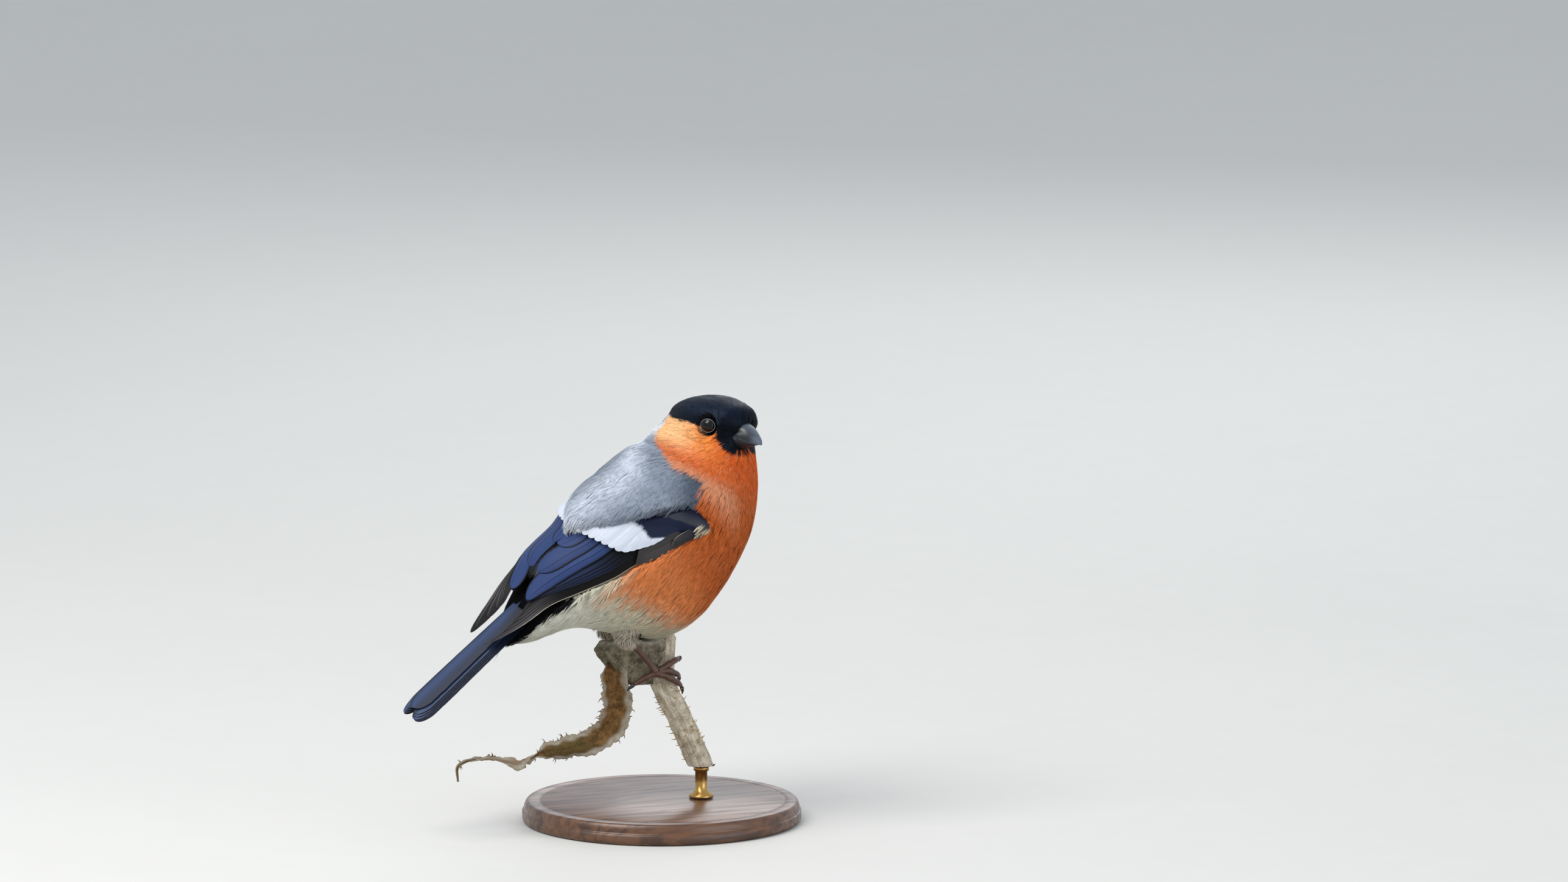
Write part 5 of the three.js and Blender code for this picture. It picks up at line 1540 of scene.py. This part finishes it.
def make_leaf(rng):
    """The dead leaf: a ribbon along a hanging curve, hollow towards its root and twisted at its end, with prickles."""
    path = smooth_path(LEAF, LEAF_ROWS)
    run = np.concatenate([[0], np.cumsum(np.linalg.norm(np.diff(path, axis=0), axis=1))])
    run = (run * 82 / run[-1])[:, None]
    t = tangent_of(path)
    flat = unit(np.cross([0.28, 0.95, 0.0], t))
    face = np.cross(flat, t)
    twist = level_at([[0, 0.25], [20, 0], [46, 0.1], [52, 1.1], [58, 2.9], [66, 4.3], [82, 6.4]], run)
    across = flat * np.cos(twist) + face * np.sin(twist)
    out = np.cross(across, t)
    c = np.linspace(-1, 1, LEAF_COLUMNS)[None]
    half = level_at([[0, 1.6], [3, 4.4], [8, 4.8], [18, 5.0], [27, 4.6], [38, 3.6], [45, 2.8], [49, 1.0], [53, 2.2],
                     [57, 1.9], [61, 0.9], [67, 1.3], [73, 0.8], [82, 0.35]], run)
    fold = level_at([[0, 3.0], [20, 3.4], [29, 0.2], [36, -2.4], [45, -1.5], [50, 0.8], [82, 0.3]], run)
    edge = np.abs(c) ** 3
    rumple = 0.5 * np.sin(0.9 * run + 2 * c) + 0.35 * np.sin(1.7 * run + 1.3) + 0.25 * np.sin(3.1 * run + 3 * c)
    frayed = 0.06 * np.sin(0.7 * run + c) + 0.04 * np.sin(2.9 * run + 2) + 0.02 * np.sin(6.1 * run + c)
    half = half * (1 + edge * frayed)
    spongy = 0.12 * np.sin(2.6 * run + 5 * c) * np.sin(7 * c + 0.8 * run) * (1 - edge)
    height = fold * c * c + edge * rumple * np.minimum(half / 3, 1) + spongy - 0.25 * np.exp(-((c / 0.12) ** 2))
    top = path[:, None] + across[:, None] * (half * c)[..., None] + out[:, None] * height[..., None]
    thick = (0.8 - 0.45 * edge) * np.minimum(half / 2.5, 1)
    rings = np.concatenate([top, (top - out[:, None] * thick[..., None])[:, ::-1]], 1)
    worn = ease(np.abs(c) + 0.08 * np.sin(1.1 * run) + 0.25 * ease(run, 46, 52), 0.5, 0.8)
    wear = np.concatenate([worn, np.maximum(worn, 0.5)[:, ::-1]], 1)
    moss = ease(run, 26, 33) * (1 - ease(run, 44, 48)) * (1 - edge) + 0 * c
    parts = [closed_loft("leaf", rings, level_place, scalars={"wear": wear, "moss": np.concatenate([moss, moss], 1)})]
    for i, j in zip(rng.integers(8, LEAF_ROWS - 12, LEAF_PRICKLES),
                    rng.choice([0, LEAF_COLUMNS - 1], LEAF_PRICKLES)):
        away = unit(across[i] * np.sign(j - 1) + 0.35 * rng.normal(0, 1, 3))
        parts.append(prickle(top[i, j], away, t[i], rng.uniform(0.7, 1.5), 0.2))
    return joined_piece("leaf", parts)


AXIS_GAP = 0.02


def lathe(name, outline, sides, centre=(0.0, 0.0)):
    """A turned shape: an outline of radius and height, in millimetres of the model, carried round a point."""
    outline = np.asarray(outline, float)
    angle = turns(sides)[None]
    r, h = outline[:, 0][:, None], outline[:, 1][:, None]
    points = stacked(centre[0] + r * np.cos(angle), centre[1] + r * np.sin(angle), h)
    return closed_loft(name, points, lambda p: p * MM)


# Settings that a user may change

def length_setting(label, text, default):
    """A length in metres with a name and a description."""
    return bpy.props.FloatProperty(name=label, description=text, default=default, min=0.0, unit="LENGTH",
                                   subtype="DISTANCE", precision=4)


def power_setting(label, text, default):
    """A light's power in watts."""
    return bpy.props.FloatProperty(name=label, description=text, default=default, min=0.0, unit="POWER")


def colour_setting(label, text, *values):
    """A colour given by its screen values of 0 to 255."""
    return bpy.props.FloatVectorProperty(name=label, description=text, default=tuple(rgb(*values)), size=3, min=0.0,
                                         max=1.0, subtype="COLOR")


class PlumageSettings(bpy.types.PropertyGroup):
    """Colours and density of the body's feathers."""

    coat_density: bpy.props.FloatProperty(
        name="Coat density", description="Share of the full number of feather clumps", default=1.0, min=0.05, max=1.0,
        subtype="FACTOR")
    # The crown's colour is partly the real blue black and partly a painted blue sheen where the light falls on top.
    crown: colour_setting("Crown", "Blue black of the crown", 20, 27, 42)
    mask: colour_setting("Mask", "Black of the face and chin", 5, 5, 7)
    cheek_front: colour_setting("Cheek front", "Cheek near the eye and bill", 252, 142, 62)
    # The rear of the cheek is painted paler, a painted highlight where the light falls.
    cheek_rear: colour_setting("Cheek rear", "Cheek towards the nape", 255, 192, 134)
    throat: colour_setting("Throat", "Throat and the collar under the cheek", 224, 98, 38)
    breast_high: colour_setting("Breast by the shoulder", "Paler breast beside the wing's bend", 228, 150, 110)
    breast: colour_setting("Breast", "Breast", 201, 99, 44)
    flank: colour_setting("Flank", "Flank and the breast's lower border", 232, 134, 76)
    belly: colour_setting("Belly", "White of the belly", 206, 200, 172)
    vent: colour_setting("Vent", "Under the tail's root", 214, 212, 196)
    thigh: colour_setting("Thigh", "Feathers of the thigh", 190, 178, 158)
    rump: colour_setting("Rump", "White over the tail's root", 226, 230, 236)
    # The nape and upper mantle greys carry painted light, lighter where the light falls on the top; the lower mantle
    # grey carries painted shade down the side.
    nape: colour_setting("Nape", "Pale grey behind the cap", 220, 222, 228)
    mantle_top: colour_setting("Upper mantle", "Grey of the middle of the back", 206, 214, 228)
    mantle: colour_setting("Mantle", "Grey between the back and the shoulder", 138, 148, 163)
    mantle_low: colour_setting("Lower mantle", "Grey of the shoulder feathers", 78, 89, 104)


class WingSettings(bpy.types.PropertyGroup):
    """Colours of the wings and the tail."""

    bar: colour_setting("Wing bar", "Pale ends of the greater coverts", 196, 202, 212)
    patch: colour_setting("Covert bases", "Dark blue bases of the greater coverts", 6, 18, 46)
    median: colour_setting("Median coverts", "Smooth grey coverts before the blue ones", 52, 54, 62)
    alula: colour_setting("Alula", "Small feathers over the wrist", 26, 30, 40)
    primary_covert: colour_setting("Primary coverts", "Coverts of the primaries", 56, 52, 52)
    cream: colour_setting("Bend edges", "Cream edges near the wing's bend", 196, 184, 160)
    primary: colour_setting("Primaries", "Webs of the primaries", 25, 23, 24)
    primary_edge: colour_setting("Primary edges", "Thin pale fringes of the primaries", 120, 116, 122)
    secondary: colour_setting("Secondaries", "Webs of the secondaries", 8, 9, 12)
    tertial: colour_setting("Tertials", "Glossy blue webs of the tertials", 42, 60, 104)
    tail: colour_setting("Tail", "Glossy blue of the tail", 44, 62, 98)
    tail_dark: colour_setting("Tail edges", "Dark inner webs of the tail", 10, 12, 22)


class BareSettings(bpy.types.PropertyGroup):
    """Colours of the bare parts."""

    pupil: colour_setting("Pupil", "Pupil and rim of the eye", 4, 4, 5)
    iris: colour_setting("Iris", "Dark brown of the iris", 18, 9, 6)
    lid: colour_setting("Lids", "Bare ring round the eye", 112, 112, 116)
    horn: colour_setting("Bill", "Horn of the bill", 25, 29, 35)
    # Paler horn of real wear at the tip and edges, and of a painted highlight along the ridge.
    horn_worn: colour_setting("Worn bill", "Edges of the bill", 96, 108, 124)
    leg: colour_setting("Legs", "Skin of the shanks and toes", 66, 38, 25)
    leg_pale: colour_setting("Leg scutes", "Paler skin between the scutes", 100, 68, 54)
    claw: colour_setting("Claws", "Horn of the claws", 34, 28, 28)


class PerchSettings(bpy.types.PropertyGroup):
    """Sizes and colours of the perch and the stand."""

    stem_radius: length_setting("Stem radius", "Mean radius of the stem", STEM_RADIUS * MM)
    base_radius: length_setting("Base radius", "Radius of the stand's base", BASE_RADIUS * MM)
    base_height: length_setting("Base height", "Height of the stand's base", BASE_HEIGHT * MM)
    rod_radius: length_setting("Rod radius", "Radius of the stand's rod", ROD_RADIUS * MM)
    stem: colour_setting("Stem", "Dry stem", 206, 196, 176)
    stem_dark: colour_setting("Stem grooves", "Weathered grooves and specks", 124, 106, 80)
    prickle: colour_setting("Prickles", "Horn of the stem's prickles", 186, 150, 92)
    bark: colour_setting("Cup", "Woody cup of leaf bases", 138, 129, 106)
    bark_dark: colour_setting("Cup pits", "Pits and creases of the cup", 44, 38, 26)
    leaf: colour_setting("Leaf", "Dead leaf", 132, 96, 52)
    moss: colour_setting("Moss", "Mossy back of the leaf", 74, 68, 34)
    leaf_edge: colour_setting("Leaf edge", "Crinkled pale edge of the leaf", 172, 164, 148)
    wood: colour_setting("Base", "Turned wood of the base", 104, 68, 42)
    wood_dark: colour_setting("Base grain", "Dark grain of the base", 58, 34, 20)
    brass: colour_setting("Rod", "Brass of the rod", 190, 150, 86)


class StageSettings(bpy.types.PropertyGroup):
    """Floor, lights and camera."""

    floor: colour_setting("Floor", "Plain pale floor", 200, 199, 195)
    key_power: power_setting("Key light", "Power of the key light", 11.0)
    fill_power: power_setting("Fill light", "Power of the fill light", 4.5)
    rim_power: power_setting("Back light", "Power of the light behind", 3.0)
    lens: bpy.props.FloatProperty(name="Lens", description="Focal length in millimetres", default=500.0, min=1.0,
                                  subtype="DISTANCE_CAMERA", unit="CAMERA")


def colours_of(group):
    """The colours of a settings group as arrays, by name."""
    return {key: np.array(getattr(group, key)) for key in group.__annotations__ if len(np.shape(getattr(group, key)))}


def palette_of(context):
    """All the bird's colours by name."""
    scene = context.scene
    return {**colours_of(scene.bullfinch_plumage), **colours_of(scene.bullfinch_wings),
            **colours_of(scene.bullfinch_bare)}


SURFACE = {}


def plumage_surface():
    """The coat's surface, worked out once."""
    if not SURFACE:
        SURFACE.update(plumage_grid())
    return SURFACE


# Operators

class BuildSkin(bpy.types.Operator):
    """Make the one skin under the feathers, in place of the flesh solids"""

    bl_idname = "bullfinch.skin"
    bl_label = "Skin"

    def execute(self, context):
        skin = make_skin(plumage_surface(), palette_of(context))
        nodes = ["head", "neck", "torso", "rump", "leg_right_thigh", "leg_left_thigh"]
        finish_piece(skin, plumage_material("skin", (0.75, 0.9), Specular_IOR_Level=0.2), "breast_feathers", *nodes)
        return {"FINISHED"}


class BuildCoat(bpy.types.Operator):
    """Make the body's feathers: clumps of thin blades that follow the lie of the coat"""

    bl_idname = "bullfinch.coat"
    bl_label = "Body feathers"

    def execute(self, context):
        palette = palette_of(context)
        soft = plumage_material("soft_feathers", (0.62, 0.8), Specular_IOR_Level=0.06)
        glossy = plumage_material("cap_feathers", (0.36, 0.5), Specular_IOR_Level=0.16, Specular_Tint=(0.5, 0.7, 1.0))
        for piece, slot in make_coat(plumage_surface(), palette, context.scene.bullfinch_plumage):
            finish_piece(piece, glossy if slot == "cap_feathers" else soft, slot)
        rng = np.random.default_rng(SEEDS["bristles"])
        finish_piece(make_bristles(palette, rng), glossy, "cap_feathers")
        for name, side in SIDES.items():
            finish_piece(thigh_feathers(palette, rng, side, name), soft, "pale_feathers")
        return {"FINISHED"}


class BuildWings(bpy.types.Operator):
    """Make both folded wings from overlapping vanes"""

    bl_idname = "bullfinch.wings"
    bl_label = "Wings"

    def execute(self, context):
        palette = palette_of(context)
        flight = vane_material("flight_vanes", (0.2, 0.2, 0.25), 0.42, 0.14, Specular_IOR_Level=0.14)
        covert = vane_material("covert_vanes", (0.85, 0.85, 0.88), 0.5, 0.2, Specular_IOR_Level=0.22)
        for name, side in SIDES.items():
            rng = np.random.default_rng(SEEDS["wings"])
            finish_piece(make_arm(side, name, palette, rng), covert, "covert_feathers", f"wing_{name}_arm")
            finish_piece(small_coverts(side, name, palette, rng), covert, "covert_feathers")
            finish_piece(make_flight(side, name, palette, rng), flight, "flight_feathers", f"wing_{name}_flight")
        return {"FINISHED"}


class BuildTail(bpy.types.Operator):
    """Make the tail's twelve feathers"""

    bl_idname = "bullfinch.tail"
    bl_label = "Tail"

    def execute(self, context):
        palette = palette_of(context)
        rng = np.random.default_rng(SEEDS["tail"])
        vanes = [tail_vane(side, pair, palette, rng) for pair in range(6) for side in SIDES.values()]
        glossy = vane_material("tail_vanes", (1.7, 1.7, 1.6), 0.36, 0.14, Specular_IOR_Level=0.3)
        finish_piece(joined_piece("tail_feathers", vanes), glossy, "flight_feathers", "tail")
        return {"FINISHED"}


class BuildEyes(bpy.types.Operator):
    """Make the eyes and their lids"""

    bl_idname = "bullfinch.eyes"
    bl_label = "Eyes"

    def execute(self, context):
        palette = palette_of(context)
        wet, tree, shader = new_material("eye", Specular_IOR_Level=0.3)
        colour = attribute(tree, "eye_colour", "Color")
        flecks = noise(tree, object_place(tree), 2600.0, 3.0)
        darker = mixed(tree, 1.0, colour, (0.5, 0.5, 0.5), "MULTIPLY")
        feed(tree, shader, mixed(tree, times(tree, flecks, 0.5), colour, darker),
             spread_between(tree, flecks, 0.08, 0.14))
        lid, *_ = mottled_material("lid_skin", palette["lid"], palette["lid"] * 0.5, 900.0, 5000.0, 0.6, (0.45, 0.6),
                                   0.5, 0.0001)
        for name, side in SIDES.items():
            finish_piece(make_eye(side, name, palette), wet, "eye", f"eye_{name}")
            finish_piece(make_lid(side, name), lid, "cap_feathers")
        return {"FINISHED"}


class BuildBill(bpy.types.Operator):
    """Make the two halves of the bill"""

    bl_idname = "bullfinch.bill"
    bl_label = "Bill"

    def execute(self, context):
        palette = palette_of(context)
        horn, tree, shader, made = mottled_material("bill_horn", palette["horn"], palette["horn"] * 0.35, 620.0,
                                                    3000.0, 0.6, (0.28, 0.42), 0.25, 0.00006)
        wear = times(tree, attribute(tree, "wear"), 0.7)
        # The paler horn is real wear at the tip and edges and a painted highlight along the top ridge.
        feed(tree, shader, mixed(tree, wear, made.outputs["Colour"], palette["horn_worn"]))
        finish_piece(make_bill(True), horn, "bill", "bill_upper")
        finish_piece(make_bill(False), horn, "bill", "bill_lower")
        return {"FINISHED"}


class BuildLegs(bpy.types.Operator):
    """Make the shanks, feet and claws"""

    bl_idname = "bullfinch.legs"
    bl_label = "Legs and feet"

    def execute(self, context):
        palette = palette_of(context)
        skin, *_ = mottled_material("leg_skin", palette["leg"], palette["leg_pale"], 500.0, 3200.0, 0.6, (0.35, 0.55),
                                    0.5, 0.00012)
        claw, *_ = mottled_material("claw_horn", palette["claw"], palette["claw"] * 1.8, 700.0, 4000.0, 0.5,
                                    (0.22, 0.4), 0.2, 0.00005)
        for name, side in SIDES.items():
            toes, claws = make_foot(side, name)
            finish_piece(toes, skin, "leg_skin", f"foot_{name}")
            finish_piece(claws, claw, "leg_skin")
            finish_piece(make_tarsus(side, name), skin, "leg_skin", f"leg_{name}_tarsus")
        return {"FINISHED"}


class BuildPerch(bpy.types.Operator):
    """Make the cut stem, its woody cup and the dead leaf"""

    bl_idname = "bullfinch.perch"
    bl_label = "Perch"

    def execute(self, context):
        settings = context.scene.bullfinch_perch
        tone = colours_of(settings)
        rng = np.random.default_rng(SEEDS["perch"])
        stem, *_ = mottled_material("dry_stem", tone["stem"], tone["stem_dark"], 330.0, 2100.0, 0.75, (0.7, 0.9), 0.6,
                                    0.0002, Specular_IOR_Level=0.3)
        bark, tree, shader, made = mottled_material("woody_bark", tone["bark"], tone["bark_dark"], 420.0, 1800.0, 0.85,
                                                    (0.75, 0.95), 0.8, 0.0004, Specular_IOR_Level=0.25)
        wear = times(tree, attribute(tree, "wear"), 0.7)
        feed(tree, shader, mixed(tree, wear, made.outputs["Colour"], tone["leaf_edge"]))
        leaf, tree, shader, made = mottled_material("dead_leaf", tone["leaf"], tone["leaf"] * 0.2, 520.0, 2100.0, 0.8,
                                                    (0.7, 0.9), 0.8, 0.0003, Specular_IOR_Level=0.25)
        mossy = mixed(tree, times(tree, attribute(tree, "moss"), 0.6), made.outputs["Colour"], tone["moss"])
        speckled = times(tree, attribute(tree, "wear"), spread_between(tree, made.outputs["Mask"], 0.45, 1.0))
        feed(tree, shader, mixed(tree, speckled, mossy, tone["leaf_edge"]))
        tan, *_ = mottled_material("prickle_horn", tone["prickle"], tone["prickle"] * 0.6, 900.0, 3000.0, 0.6,
                                   (0.5, 0.7), 0.3, 0.0001)
        radius = settings.stem_radius / MM
        finish_piece(make_stem(radius), stem, "dry_stem", "perch_stem")
        finish_piece(make_prickles(radius, rng), tan, "dry_stem")
        finish_piece(make_cup(), bark, "woody_bark", "perch_cup")
        finish_piece(make_leaf(rng), leaf, "dead_leaf", "perch_leaf")
        return {"FINISHED"}


class BuildStand(bpy.types.Operator):
    """Make the turned base and the rod"""

    bl_idname = "bullfinch.stand"
    bl_label = "Stand"

    def execute(self, context):
        settings = context.scene.bullfinch_perch
        tone = colours_of(settings)
        radius, height = settings.base_radius / MM, settings.base_height / MM
        edge, lip = 1.6, 0.5
        sine, cosine = (f(np.linspace(0, np.pi / 2, 10)) for f in (np.sin, np.cos))
        foot = np.stack([radius - edge + edge * sine, edge - edge * cosine], -1)
        shoulder = np.stack([radius - lip - edge * (1 - cosine), height - 2 * edge * (1 - sine)], -1)
        outline = [[AXIS_GAP, 0.0], [radius - edge - 0.3, 0.0], *foot, [radius, height - 2.2 * edge],
                   [radius - lip, height - 2 * edge], *shoulder, [radius - 5.0, height],
                   [radius - 5.6, height - 0.35], [radius - 6.2, height], [4.6, height], [AXIS_GAP, height]]
        base = lathe("base", outline, 160)
        wood, tree, shader = new_material("turned_wood", Specular_IOR_Level=0.4, Coat_Weight=0.35, Coat_Roughness=0.25)
        stretched = add_node(tree, "ShaderNodeMapping", {"Vector": object_place(tree), "Scale": (1.0, 9.0, 9.0)})
        rings = noise(tree, stretched.outputs[0], 38.0, 6.0, Distortion=0.6)
        pores = noise(tree, stretched.outputs[0], 260.0, 3.0)
        grain = maths(tree, "ADD", times(tree, ramped(tree, rings, 0.35, 0.68), 0.8), times(tree, pores, 0.3))
        feed(tree, shader, mixed(tree, grain, tone["wood"], tone["wood_dark"]),
             spread_between(tree, grain, 0.34, 0.5), pores, 0.2, 0.0001)
        finish_piece(base, wood, "turned_wood", "stand_base")
        low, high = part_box("stand_rod")
        centre = ((low[0] + high[0]) / 2 / MM, (low[1] + high[1]) / 2 / MM)
        bottom, top, r = low[2] / MM, high[2] / MM, settings.rod_radius / MM
        rod_outline = [[AXIS_GAP, bottom], [r + 1.9, bottom], [r + 2.1, bottom + 0.3], [r + 1.9, bottom + 1.0],
                       [r + 0.8, bottom + 1.5], [r + 0.6, bottom + 2.1], [r, bottom + 2.4], [r, top - 1.6],
                       [r + 0.5, top - 1.4], [r + 0.6, top - 0.5], [r + 0.3, top], [AXIS_GAP, top]]
        rod = lathe("rod", rod_outline, 64, centre)
        brass, *_ = mottled_material("brass_rod", tone["brass"], tone["brass"] * 0.7, 300.0, 2500.0, 0.5, (0.2, 0.34),
                                     0.1, 0.00004, Metallic=1.0)
        finish_piece(rod, brass, "brass_rod", "stand_rod")
        return {"FINISHED"}


AIM = np.array([37.7, -12.1, 125.8])
CAMERA_AWAY = 7155.6
CAMERA_RIGHT = unit(np.array([0.917, -0.399, 0.0]))
CAMERA_BACK = unit(np.array([-0.3927, -0.9031, 0.1736]))
CAMERA_UP = np.cross(CAMERA_BACK, CAMERA_RIGHT)
SENSOR = 36.0
FLOOR_REACH = 9.0
# For each light: how far it stands to the camera's right, up and back from the aim, its size and its colour
LIGHTS = {
    "key": ([-0.55, 0.75, 0.55], 0.7, (1.0, 0.98, 0.95)),
    "fill": ([0.9, 0.1, 0.8], 0.9, (0.93, 0.96, 1.0)),
    "behind": ([0.2, 0.7, -0.9], 0.7, (1.0, 1.0, 1.0)),
}
SKY = (0.86, 0.92, 1.0, 1)
SKY_STRENGTH = 0.8


def area_light(name, place, aim, size, power, colour):
    """A square soft light at a place, in metres, that faces a point."""
    lamp = bpy.data.lights.new(name, "AREA")
    lamp.shape, lamp.size, lamp.energy, lamp.color = "SQUARE", size, power, colour
    made = bpy.data.objects.new(name, lamp)
    bpy.context.scene.collection.objects.link(made)
    back = unit(place - aim)
    right = unit(np.cross([0, 0, 1], back))
    made.matrix_world = turned_matrix(right, np.cross(back, right), back, place)


def turned_matrix(right, up, back, place):
    """A placing whose axes are right, up and back."""
    matrix = np.eye(4)
    matrix[:3] = np.stack([right, up, back, place], -1)
    return Matrix(matrix.tolist())


class BuildStage(bpy.types.Operator):
    """Make the floor, the lights and the camera"""

    bl_idname = "bullfinch.stage"
    bl_label = "Stage"

    def execute(self, context):
        settings = context.scene.bullfinch_stage
        corners = FLOOR_REACH * np.array([[-1, -1, 0], [1, -1, 0], [1, 1, 0], [-1, 1, 0]])
        floor = put_mesh("floor", corners, [np.array([[0, 1, 2, 3]])], smooth=False)
        paper, *_ = mottled_material("floor_paper", np.array(settings.floor), np.array(settings.floor) * 0.97, 3.0,
                                     60.0, 0.5, (0.85, 0.95), 0.0, 0.0001)
        floor.data.materials.append(paper)
        centre = AIM * MM
        powers = {"key": settings.key_power, "fill": settings.fill_power, "behind": settings.rim_power}
        for name, (reach, size, colour) in LIGHTS.items():
            place = centre + reach @ np.stack([CAMERA_RIGHT, CAMERA_UP, CAMERA_BACK])
            area_light(name, place, centre, size, powers[name], colour)
        world = bpy.data.worlds.new("studio")
        world.use_nodes = True
        background = world.node_tree.nodes["Background"]
        background.inputs["Color"].default_value = SKY
        background.inputs["Strength"].default_value = SKY_STRENGTH
        context.scene.world = world
        context.scene.view_settings.view_transform = "Standard"
        lens = bpy.data.cameras.new("camera")
        lens.lens, lens.sensor_width, lens.sensor_fit = settings.lens, SENSOR, "HORIZONTAL"
        lens.clip_start, lens.clip_end = 0.1, 40.0
        camera = bpy.data.objects.new("camera", lens)
        context.scene.collection.objects.link(camera)
        place = centre + CAMERA_BACK * CAMERA_AWAY * MM
        camera.matrix_world = turned_matrix(CAMERA_RIGHT, CAMERA_UP, CAMERA_BACK, place)
        context.scene.camera = camera
        return {"FINISHED"}


OPERATORS = (BuildSkin, BuildCoat, BuildWings, BuildTail, BuildEyes, BuildBill, BuildLegs, BuildPerch, BuildStand,
             BuildStage)
GROUPS = {
    "bullfinch_plumage": PlumageSettings, "bullfinch_wings": WingSettings, "bullfinch_bare": BareSettings,
    "bullfinch_perch": PerchSettings, "bullfinch_stage": StageSettings,
}


class BullfinchPanel(bpy.types.Panel):
    """Settings and pieces of the bullfinch"""

    bl_idname = "VIEW3D_PT_bullfinch"
    bl_label = "Bullfinch"
    bl_space_type = "VIEW_3D"
    bl_region_type = "UI"
    bl_category = "Bullfinch"

    def draw(self, context):
        for key, group in GROUPS.items():
            box = self.layout.box()
            for setting in group.__annotations__:
                box.prop(getattr(context.scene, key), setting)
        for operator in OPERATORS:
            self.layout.operator(operator.bl_idname)


CLASSES = (*GROUPS.values(), *OPERATORS, BullfinchPanel)


def register():
    for cls in CLASSES:
        bpy.utils.register_class(cls)
    for key, group in GROUPS.items():
        setattr(bpy.types.Scene, key, bpy.props.PointerProperty(type=group))


def unregister():
    for key in GROUPS:
        delattr(bpy.types.Scene, key)
    for cls in reversed(CLASSES):
        bpy.utils.unregister_class(cls)


def main():
    """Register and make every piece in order."""
    register()
    for operator in OPERATORS:
        group, name = operator.bl_idname.split(".")
        getattr(getattr(bpy.ops, group), name)()


if __name__ == "__main__":
    main()
